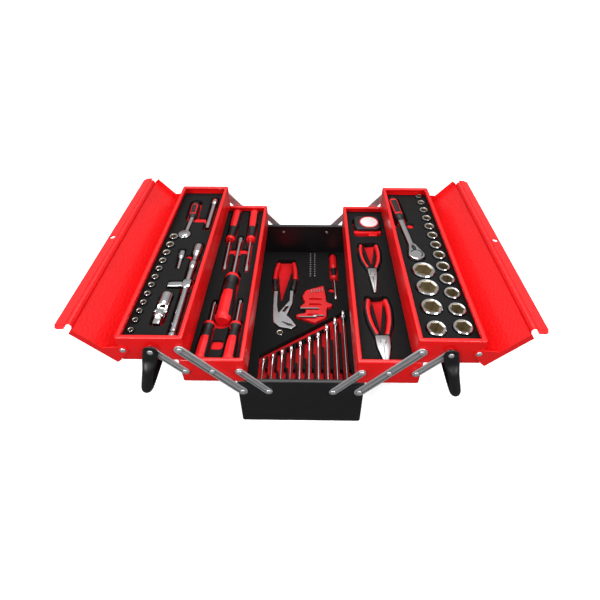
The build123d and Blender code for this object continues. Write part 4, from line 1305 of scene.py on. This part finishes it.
class CASE_OT_small_drives(bpy.types.Operator):
    """Make the small ratchet, the bars, the sliding bar and the universal joint"""

    bl_idname = "case.small_drives"
    bl_label = "Small drive set"

    def execute(self, context):
        bay = bays()["left_upper"]
        ratchet, lever, soft, bars, sliding, joint = (Shape() for _ in range(6))
        head_top = (*SMALL_HEAD, SMALL_HEAD_TOP)
        ratchet.turn(bay, (*SMALL_HEAD, 0.2), head_top, SMALL_HEAD_RADII, 40, up=(0, 1, 0))
        cover = [(0, 8), (0.7, 8), (1, 7)]
        ratchet.turn(bay, head_top, (*SMALL_HEAD, 15), cover, 12, up=(0, 1, 0))
        ratchet.turn(bay, *SMALL_NECK, 60, 5)
        ratchet.finish("small_ratchet_head", bay.body, "tool_chrome", "chrome", "small_ratchet", sharp=30)
        lever_ring(lever, bay.at(*SMALL_HEAD, 14.6), 6.3, (30, 300), 24, 1.1, 0.4)
        lever.finish("small_ratchet_lever", bay.body, "grip_black", "black plastic")
        soft.turn(bay, *SMALL_GRIP, 60, 5)
        rubber = ("small_ratchet_rubber", bay.body, "grip_black", "ratchet grip")
        soft.finish(*rubber, "small_ratchet_grip", sharp=40)
        for bar in EXTENSION_BARS:
            bars.turn(bay, *bar)
        bars.finish("turned_extension_bars", bay.body, "tool_chrome", "chrome", "extension_bars", sharp=30)
        sliding.turn(bay, *SLIDING_BAR)
        for piece in SLIDING_BLOCKS:
            square_bar(sliding, bay, *piece)
        sliding.finish("sliding_bar", bay.body, "tool_chrome", "chrome", "sliding_t_bar", sharp=30)
        joint.turn(bay, *JOINT_BODY, 40)
        for tine in JOINT_TINES:
            square_bar(joint, bay, *tine)
        yoke = np.linspace(*(bay.at(*end) for end in JOINT_YOKE), 5)
        joint.grid(tube(yoke, JOINT_YOKE_RADIUS * MM, sides=24), capped=True)
        square_bar(joint, bay, *JOINT_MIDDLE)
        joint.turn(bay, *JOINT_COLLAR, 24)
        square_bar(joint, bay, *JOINT_DRIVE)
        joint.finish("jointed_drive", bay.body, "tool_chrome", "chrome", "universal_joint", sharp=30)
        return {"FINISHED"}


PEAR_HEIGHT = 18
# The large ratchet's shank: the ends of its middle line, and half its width at shares of the way
LARGE_SHANK = ((63.5, 18, 10.5), (72, 113, 11))
LARGE_SHANK_WIDTHS = [(0, 6.2), (0.2, 5.4), (1, 6)]
LARGE_ARM = ((61, 10, 19), (65, 22, 19))
LARGE_GRIP = (
    (72.5, 112, 12), (80, 194, 12),
    [(0.03, 7), (0.08, 10.4), (0.12, 10), (0.4, 10.4), (0.8, 12), (0.94, 9.5), (1, 5)],
)


class CASE_OT_large_ratchet(bpy.types.Operator):
    """Forge the large ratchet, with its pear head, reversing lever and moulded grip"""

    bl_idname = "case.large_ratchet"
    bl_label = "Large ratchet"

    def execute(self, context):
        bay = bays()["right_upper"]
        metal, lever, soft = Shape(), Shape(), Shape()
        start, end = (bay.flat(place) for place in PEAR)
        over = bay.at(*PEAR[0], PEAR_HEIGHT)

        def pear(x, y):
            return capsule(x, y, start, end, *(radius * MM for radius in PEAR_RADII))

        limits = ((start[0] - 17 * MM, start[0] + 17 * MM), (-19 * MM, 33 * MM))
        relief(metal, limits, pear, over[2], bay.liner, 0.8 * MM, edge=2.2 * MM)
        shank = np.linspace(*(bay.at(*place) for place in LARGE_SHANK), 30)
        wide = np.interp(np.linspace(0, 1, 30), *np.transpose(LARGE_SHANK_WIDTHS)) * MM
        metal.grid(tube(shank, wide, 5 * MM, power=3.5), capped=True)
        metal.finish("large_ratchet_head", bay.body, "tool_chrome", "chrome", "large_ratchet", sharp=30)
        lever_ring(lever, over, 10.5, (-50, 150), 20, 1.2, 0.35)
        arm = np.linspace(*(bay.at(*place) for place in LARGE_ARM), 8)
        wide = 3 * MM * np.array([0.5, 0.9, 1, 1, 1, 1, 0.9, 0.5])
        lever.grid(tube(arm, wide, 1 * MM, power=3), capped=True)
        lever.finish("large_ratchet_lever", bay.body, "grip_black", "black plastic")
        soft.turn(bay, *LARGE_GRIP, 70, 5)
        rubber = ("large_ratchet_rubber", bay.body, "grip_black", "ratchet grip")
        soft.finish(*rubber, "large_ratchet_grip", sharp=40)
        return {"FINISHED"}


def blade(shape, start, end, radius, bay, height):
    """A round blade whose last part is forged flat and flares before its tip."""
    path = np.linspace(bay.at(*start, height), bay.at(*end, height), 40)
    share = np.linspace(0, 1, 40)
    wide = radius * np.interp(share, [0, 0.8, 0.92, 1], [1, 1, 1.35, 1.0]) * MM
    high = radius * np.interp(share, [0, 0.8, 1], [1, 1, 0.25]) * MM
    shape.grid(tube(path, wide, high, sides=20), capped=True)


FLUTES = 8
# How far a flute is cut in, as a share of the radius, and how quickly it fades, as one of the length
FLUTE_DEPTH = 0.05
FLUTE_FADE = 0.05


def fluted(rings, start, end, shares):
    """Rings drawn in towards their middle line by a share that follows a cosine round them, and fades
    out beyond two shares of their length."""
    rows, columns = rings.shape[:2]
    along = np.linspace(0, 1, rows)
    middle = start + along[:, None] * (end - start)
    fade = np.clip((along - shares[0]) / FLUTE_FADE, 0, 1) * np.clip((shares[1] - along) / FLUTE_FADE, 0, 1)
    turn = np.linspace(0, 2 * np.pi, columns, endpoint=False)
    draw = 1 - FLUTE_DEPTH * fade[:, None] * (0.5 - 0.5 * np.cos(FLUTES * turn))
    return middle[:, None] + (rings - middle[:, None]) * draw[..., None]


# The swell of a grip: radii at shares of its length, for the five as shares of their own radius
DRIVER_SWELL = [
    (0, 0.68), (0.03, 0.9), (0.08, 1), (0.2, 0.97), (0.45, 0.97), (0.62, 0.8), (0.8, 0.68),
    (0.9, 0.76), (0.95, 0.97), (1, 0.8),
]
SMALL_DRIVER = [(*SMALL_DRIVER_LINE, 1, 2.6)]
SMALL_DRIVER_HEIGHT = 9
SMALL_SWELL = [(0, 5), (0.04, 7.6), (0.08, 8.5), (0.5, 8.3), (0.6, 5), (0.88, 5), (0.93, 9), (1, 7)]
# Each set: its bed, drivers, height, swell and fluted part, its rubber, and its blades and handles
# as pieces of the scene and as nodes of the frame
DRIVER_SETS = (
    (
        "left_middle", SCREWDRIVERS, SCREWDRIVER_HEIGHT, DRIVER_SWELL, (0.1, 0.6), "driver grip",
        ("forged_blades", "screwdriver_blades"), ("fluted_handles", "screwdriver_handles"),
    ),
    (
        "bottom", SMALL_DRIVER, SMALL_DRIVER_HEIGHT, SMALL_SWELL, (0.05, 0.5), "small driver grip",
        ("small_forged_blade", "small_screwdriver_blade"),
        ("small_fluted_handle", "small_screwdriver_handle"),
    ),
)


class CASE_OT_screwdrivers(bpy.types.Operator):
    """Make the screwdrivers, whose fluted grips have soft inlays"""

    bl_idname = "case.screwdrivers"
    bl_label = "Screwdrivers"

    def execute(self, context):
        for tray, drivers, height, swell, shares, rubber, steel_names, grip_names in DRIVER_SETS:
            bay = bays()[tray]
            blades, handles = Shape(), Shape()
            for end, ferrule, tip, radius, thin in drivers:
                blade(blades, ferrule, tip, thin, bay, height)
                sized = [(share, radius * wide * MM) for share, wide in swell]
                start, stop = bay.at(*end, height), bay.at(*ferrule, height)
                rings = turned(start, stop, sized, 90, 3, sides=48)
                handles.grid(fluted(rings, start, stop, shares), capped=True)
            (piece, node), (grip_piece, grip_node) = steel_names, grip_names
            blades.finish(piece, bay.body, "tool_chrome", "chrome", node, sharp=40)
            handles.finish(grip_piece, bay.body, "grip_black", rubber, grip_node, sharp=40)
        return {"FINISHED"}


# The middle of the tape measure's face
TAPE_FACE = (45, 158)


class CASE_OT_tape(bpy.types.Operator):
    """Mould the tape measure, with a bare disc in a ring on its face"""

    bl_idname = "case.tape"
    bl_label = "Tape measure"

    def execute(self, context):
        bay = bays()["right_middle"]
        case, trim, face = Shape(), Shape(), Shape()
        slab(case, bay, (22, 76), (134, 182), (bay.liner, bay.top + 9 * MM), 12, 9, 2.6)
        case.finish("tape_case", bay.body, "tape_case", "black plastic", "tape_measure", sharp=40)
        middle = bay.flat(TAPE_FACE)
        section = np.linspace(0, 2 * np.pi, 12, endpoint=False)
        reach, rise = (19.2 + 1.3 * np.cos(section)) * MM, (9.4 + 1.0 * np.sin(section)) * MM
        hoop(trim, (*middle, bay.top), reach, rise, 56)
        slab(trim, bay, (21, 78), (128, 136), (bay.liner, bay.top + 2 * MM), 2, 5, 0.8)
        slab(trim, bay, (30, 48), (121.2, 128.4), (bay.top - 2 * MM, bay.top), 2, 5, 0.5)
        trim.finish("tape_trim", bay.body, "tape_case", "red plastic")
        plate(face, circle(middle, 18.2 * MM, 56), bay.top + 8.6 * MM, bay.top + 9.8 * MM, 0.4 * MM)
        face.finish("tape_bare_disc", bay.body, "tape_case", "bare disc")
        return {"FINISHED"}


def plier_grips(shape, bay, lines, width, height, turned_about=(True, False)):
    """Moulded grips along smooth lines, where one may run the other way so that its inlay faces in."""
    for line, reverse in zip(lines, turned_about):
        path = curved([bay.at(u, v, height / 2) for u, v in line], 50)
        path = path[::-1] if reverse else path
        share = np.linspace(0, 1, 50)
        ends = np.sqrt(np.clip(1 - (np.abs(share - 0.5) * 2) ** 14, 0.05, 1))
        wide = width / 2 * MM * ends * (1 + 0.04 * np.sin(share * 21))
        shape.grid(tube(path, wide, height / 2 * MM * ends, power=2.8), capped=True)


# Each pair of pliers: its head, its grips and their width, and where its rivet stands
PLIERS = (
    ("long_nose_pliers", LONG_NOSE_HEAD, LONG_NOSE_GRIPS, LONG_NOSE_WIDTH, (52.5, -2)),
    ("combination_pliers", COMBINATION_HEAD, COMBINATION_GRIPS, COMBINATION_WIDTH, (53, -165)),
)
# The height of the strip of painted shade along the crack between the closed jaws, just over the head
JAW_GAP_SHADE_HEIGHT = 14.05


class CASE_OT_pliers(bpy.types.Operator):
    """Forge the pliers and mould their grips"""

    bl_idname = "case.pliers"
    bl_label = "Pliers"

    def execute(self, context):
        bay = bays()["right_middle"]
        for name, head, grips, width, (u, v) in PLIERS:
            metal, mouth, soft = Shape(), Shape(), Shape()
            plate(metal, softened(bay.flat(head), 4 * MM, 6), bay.liner, bay.top + 2 * MM, 1.2 * MM)
            metal.turn(bay, (u, v, 13.4), (u, v, 15), [(0, 5), (0.6, 5), (1, 4)], 10, up=(0, 1, 0))
            metal.finish(f"forged_{name}", bay.body, "tool_steel", "steel", name)
            # A thin black strip along the crack between the jaws, which is painted shade
            front = min(point[1] for point in head)
            gap = [bay.at(u, v - 8, JAW_GAP_SHADE_HEIGHT), bay.at(u + 1, front + 3, JAW_GAP_SHADE_HEIGHT)]
            mouth.grid(tube(np.linspace(*gap, 12), 0.45 * MM, 0.15 * MM, sides=8), capped=True)
            mouth.finish(f"{name}_jaw_gap_shade", bay.body, "tool_steel", "black plastic")
            plier_grips(soft, bay, grips, width, 16)
            node = f"{name}_grips"
            soft.finish(f"moulded_{node}", bay.body, "grip_black", "plier grip", node, sharp=45)
        return {"FINISHED"}


# The slot's middle line, and the gap of the open jaws
PUMP_SLOT = [(-41, 13.3), (-35, 24.7)]
PUMP_MOUTH = [(-45, -15), (-26, -23), (-20, -28), (-30, -27)]


class CASE_OT_pump_pliers(bpy.types.Operator):
    """Forge the slip-joint pliers, with their slot and open jaws, and mould their grips"""

    bl_idname = "case.pump_pliers"
    bl_label = "Slip-joint pliers"

    def execute(self, context):
        bay = bays()["bottom"]
        corners, slot, mouth = (bay.flat(points) for points in (PUMP_HEAD, PUMP_SLOT, PUMP_MOUTH))

        def forged(x, y):
            """Inside the outline, and outside the slot and the gap of the jaws."""
            steel = np.minimum(inside(x, y, corners), -capsule(x, y, *slot, 2.6 * MM))
            return np.minimum(steel, -inside(x, y, mouth))

        metal, soft = Shape(), Shape()
        top = bay.top + 3 * MM
        relief(metal, limits_round(corners, 2 * MM), forged, top, bay.liner, 0.7 * MM, edge=1.2 * MM)
        steel = ("forged_slip_joint", bay.body, "tool_steel", "steel")
        metal.finish(*steel, "pump_pliers", sharp=40, closed=False)
        plier_grips(soft, bay, PUMP_GRIPS, PUMP_WIDTH, 18, (False, False))
        rubber = ("moulded_slip_joint_grips", bay.body, "grip_black", "pump grip")
        soft.finish(*rubber, "pump_pliers_grips", sharp=45)
        return {"FINISHED"}


def wrench_parts(shape, x, ring_y, radius, thick, middle, jaw_y):
    """A wrench on edge, in metres: a ring and a jaw, each a band carried round a circle, and a bar
    between them that swells towards both."""
    half = thick / 2
    section = np.linspace(0, 2 * np.pi, 16, endpoint=False)
    flat, tall = (np.sign(f(section)) * np.abs(f(section)) ** 0.5 for f in (np.cos, np.sin))
    band = 0.2 * radius
    hoop(shape, (x, ring_y, middle), radius - band + band * flat, half * tall, 40, (1, 2, 0))
    large = 1.1 * radius
    turn = np.linspace(*np.radians((-140, 140)), 34)
    arc = 0.76 * large * np.stack([np.zeros(34), np.cos(turn), np.sin(turn)], -1) + (x, jaw_y, middle)
    shape.grid(tube(arc, 0.24 * large, half, up=(1, 0, 0), sides=16, power=4), capped=True)
    bar = np.linspace((x, ring_y - 0.85 * radius, middle), (x, jaw_y + 0.85 * large, middle), 20)
    share = np.linspace(0, 1, 20)
    swell = 1 + 0.5 * np.maximum(0, 1 - 6 * np.minimum(share, 1 - share))
    shape.grid(tube(bar, half * 0.62, 0.4 * radius * swell, sides=16, power=3), capped=True)


ADAPTER_RADIUS = 6.5


class CASE_OT_wrenches(bpy.types.Operator):
    """Forge the ten combination wrenches, which stand on edge, and the bit adapter beside them"""

    bl_idname = "case.wrenches"
    bl_label = "Wrenches"

    def execute(self, context):
        bay = bays()["bottom"]
        shape, adapter = Shape(), Shape()
        for index, ring in enumerate(WRENCH_RING_Y):
            radius, thick = wrench_sizes(index)
            x = (WRENCH_FIRST_X + WRENCH_PITCH * index) * MM
            rise = 1.1 * radius * MM
            jaw_y = WRENCH_FRONT_Y * MM + rise
            wrench_parts(shape, x, ring * MM, radius * MM, thick * MM, bay.liner + rise, jaw_y)
        wrenches = ("forged_wrenches", bay.body, "tool_chrome", "chrome", "combination_wrenches")
        shape.finish(*wrenches, sharp=40)
        low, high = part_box("bit_adapter")
        foot = (*bay.flat(ADAPTER), low.z)
        adapter.grid(socket_profile(ADAPTER_RADIUS * MM, high.z - low.z, 48) + foot, capped=True)
        adapter.finish("turned_bit_adapter", bay.body, "tool_chrome", "socket", "bit_adapter", sharp=30)
        return {"FINISHED"}


# The radius of a bit at shares of its height
BIT_STATIONS = [(0, 3.2), (0.02, 3.6), (0.6, 3.6), (0.66, 2.6), (0.96, 2.4), (1, 1.4)]


class CASE_OT_bits(bpy.types.Operator):
    """Make the two columns of six-sided bits"""

    bl_idname = "case.bits"
    bl_label = "Screwdriver bits"

    def execute(self, context):
        bay = bays()["bottom"]
        low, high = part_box("screwdriver_bits")
        shape = Shape()
        rise = high.z - low.z
        share, radius = np.transpose(BIT_STATIONS)
        for x in BIT_COLUMNS:
            for row in range(BIT_ROWS):
                y = BIT_BACK_Y - row * BIT_PITCH
                path = np.array([x * MM, y * MM, low.z]) + share[:, None] * np.array([0, 0, rise])
                shape.grid(tube(path, radius * MM, sides=6, up=(0, 1, 0)), capped=True)
        shape.finish("bits", bay.body, "tool_steel", "steel", "screwdriver_bits", sharp=30)
        return {"FINISHED"}


# Hex keys: the ends of each, and its radius
HEX_KEYS = [
    ((-7, 17), (31, 17), 2.2), ((-8, -7), (26, -7), 2.2), ((20, -2.8), (42, -2.8), 1.8),
    *(((15.5 + 6 * i, 64 + i), (15.5 + 6 * i, 74 + i), 1.4) for i in range(5)),
]
# How far over the holder the keys' middles lie
KEY_LIFT = 1.5 * MM
# The holder's slots: where each starts, its place along the case, and where it ends
HOLDER_SLOTS = [(14, 48, 36), (14, 32, 34), (10, 2, 30)]


class CASE_OT_hex_keys(bpy.types.Operator):
    """Mould the key holder and lay the keys on it"""

    bl_idname = "case.hex_keys"
    bl_label = "Hex keys"

    def execute(self, context):
        bay = bays()["bottom"]
        corners = bay.flat(HOLDER)
        top = bay.top + 4 * MM

        def moulded(x, y):
            """Inside the outline, and outside the slots that save plastic."""
            slots = [
                capsule(x, y, bay.flat((first, v)), bay.flat((last, v)), 2.2 * MM)
                for first, v, last in HOLDER_SLOTS
            ]
            return np.minimum(inside(x, y, softened(corners, 5 * MM, 4)), -any_of(slots))

        holder, keys = Shape(), Shape()
        relief(holder, limits_round(corners, 2 * MM), moulded, top, bay.liner, 0.8 * MM, edge=1.4 * MM)
        plastic_holder = ("moulded_key_holder", bay.body, "holder_plastic", "red plastic")
        holder.finish(*plastic_holder, "hex_key_holder", sharp=40, closed=False)
        for start, end, radius in HEX_KEYS:
            path = np.linspace(*((*bay.flat(tip), top + KEY_LIFT) for tip in (start, end)), 4)
            keys.grid(tube(path, radius * MM, sides=6), capped=True)
        keys.finish("hexagon_keys", bay.body, "tool_steel", "chrome", "hex_keys", sharp=25)
        return {"FINISHED"}


# Stage


FLOOR_REACH = 20.0
# Lifts the floor to white in the picture, and leaves some of the shadow under the case
FLOOR_GLOW = (0.62, 0.62, 0.62)
# What the case's own surfaces meet of the floor, so that it doesn't grey their paint
FLOOR_UNSEEN = (0.06, 0.06, 0.06)
# Softboxes: where they hang, how wide they are, and their power in watts
SOFTBOXES = [
    ((-0.8, -1.1, 1.1), 0.7, 15.0),
    ((0.9, -0.9, 1.1), 0.6, 11.0),
    ((0.0, 0.3, 1.7), 1.2, 14.0),
]
AIM = (0.0, 0.0, 0.1)


class Sky(Finish):
    """The light from all round, made with the same nodes as a finish."""

    def __init__(self, world):
        world.use_nodes = True
        self.tree = world.node_tree
        self.shader = self.tree.nodes["Background"]


def light_world():
    """White where the camera sees it, and brighter overhead than at the sides for everything else."""
    sky = Sky(bpy.data.worlds.new("studio"))
    bpy.context.scene.world = bpy.data.worlds["studio"]
    seen = sky.add("ShaderNodeLightPath", {}, {}, "Is Camera Ray")
    direction = sky.add("ShaderNodeTexCoord", {}, {}, "Generated")
    height = sky.add("ShaderNodeSeparateXYZ", {}, {0: direction}, 2)
    round_about = sky.blend(height * 1.1 + 0.1, (0.10, 0.10, 0.11), (0.62, 0.62, 0.62))
    sky.set("Color", sky.blend(seen, round_about, (1.0, 1.0, 1.0)))
    sky.set("Strength", 1.0)


def hang_softbox(index, place, width, watts):
    light = bpy.data.lights.new(f"softbox_{index}", "AREA")
    light.size = width
    light.energy = watts
    lamp = bpy.data.objects.new(light.name, light)
    lamp.location = place
    lamp.rotation_euler = (Vector(AIM) - Vector(place)).to_track_quat("-Z", "Y").to_euler()
    bpy.context.scene.collection.objects.link(lamp)
    return lamp


def lay_floor():
    """A wide pale floor at the height on which the case stands."""
    level = CAD_BOX[0][2]
    reach = FLOOR_REACH / 2
    corners = [(reach * x, reach * y, level) for x, y in ((-1, -1), (1, -1), (1, 1), (-1, 1))]
    mesh = bpy.data.meshes.new("floor")
    mesh.from_pydata(corners, [], [(0, 1, 2, 3)])
    paper = Finish("floor_paper", 0.9, emission_strength=1.0)
    seen = paper.add("ShaderNodeLightPath", {}, {}, "Is Camera Ray")
    pale = tuple(bpy.context.scene.case_colours.floor)
    mottled = paper.blend(paper.noise(0.5), tuple(0.98 * c for c in pale), pale)
    paper.set("Base Color", paper.blend(seen, FLOOR_UNSEEN, mottled))
    paper.set("Emission Color", paper.blend(seen, (0.0, 0.0, 0.0), FLOOR_GLOW))
    mesh.materials.append(paper.material)
    floor = bpy.data.objects.new("floor", mesh)
    bpy.context.scene.collection.objects.link(floor)
    return floor


def aim_camera():
    """The camera at its fitted place, with its shift for a picture whose middle is off its axis."""
    pitch, yaw, roll = np.radians((CAMERA_PITCH, CAMERA_YAW, CAMERA_ROLL))
    forward = np.array([np.sin(yaw) * np.cos(pitch), np.cos(yaw) * np.cos(pitch), -np.sin(pitch)])
    level = unit(np.cross(forward, UP))
    upward = np.cross(level, forward)
    right = np.cos(roll) * level + np.sin(roll) * upward
    upward = np.cross(right, forward)
    camera = bpy.data.cameras.new("camera")
    camera.sensor_width = SENSOR_WIDTH
    camera.lens = CAMERA_FOCAL_PIXELS / PICTURE_SIZE * SENSOR_WIDTH
    camera.shift_x = (PICTURE_SIZE / 2 - CAMERA_CENTRE_PIXELS[0]) / PICTURE_SIZE
    camera.shift_y = (CAMERA_CENTRE_PIXELS[1] - PICTURE_SIZE / 2) / PICTURE_SIZE
    viewer = bpy.data.objects.new("camera", camera)
    columns = np.stack([right, upward, -forward, CAMERA_PLACE], -1)
    viewer.matrix_world = Matrix([*columns.tolist(), (0, 0, 0, 1)])
    bpy.context.scene.collection.objects.link(viewer)
    bpy.context.scene.camera = viewer


class CASE_OT_stage(bpy.types.Operator):
    """Set the case on a pale floor under softboxes, and aim the camera at it"""

    bl_idname = "case.stage"
    bl_label = "Stage"

    def execute(self, context):
        light_world()
        lamps = [hang_softbox(index, *box) for index, box in enumerate(SOFTBOXES)]
        lay_floor()
        aim_camera()
        context.scene.view_settings.view_transform = "Standard"
        return {"FINISHED"}


# Add-on


OPERATORS = (
    CASE_OT_trays, CASE_OT_lids, CASE_OT_links, CASE_OT_rivets, CASE_OT_handles, CASE_OT_foams,
    CASE_OT_sockets, CASE_OT_small_drives, CASE_OT_large_ratchet, CASE_OT_screwdrivers, CASE_OT_tape,
    CASE_OT_pliers, CASE_OT_pump_pliers, CASE_OT_wrenches, CASE_OT_bits, CASE_OT_hex_keys, CASE_OT_stage,
)
SETTINGS = {"case_sizes": CaseSizes, "case_colours": CaseColours}


class CASE_PT_pieces(bpy.types.Panel):
    """The case's pieces in the order in which they are made, with their sizes and colours"""

    bl_idname = "CASE_PT_pieces"
    bl_label = "Tool Case"
    bl_space_type = "VIEW_3D"
    bl_region_type = "UI"
    bl_category = "Tool Case"

    def draw(self, context):
        for operator in OPERATORS:
            self.layout.operator(operator.bl_idname)
        for name, kind in SETTINGS.items():
            for value in kind.__annotations__:
                self.layout.prop(getattr(context.scene, name), value)


CLASSES = (*SETTINGS.values(), *OPERATORS, CASE_PT_pieces)


def register():
    for kind in CLASSES:
        bpy.utils.register_class(kind)
    for name, kind in SETTINGS.items():
        setattr(bpy.types.Scene, name, PointerProperty(type=kind))


def unregister():
    for name in SETTINGS:
        delattr(bpy.types.Scene, name)
    for kind in reversed(CLASSES):
        bpy.utils.unregister_class(kind)


def main():
    register()
    for operator in OPERATORS:
        getattr(bpy.ops.case, operator.bl_idname.split(".")[1])()


if __name__ == "__main__":
    main()
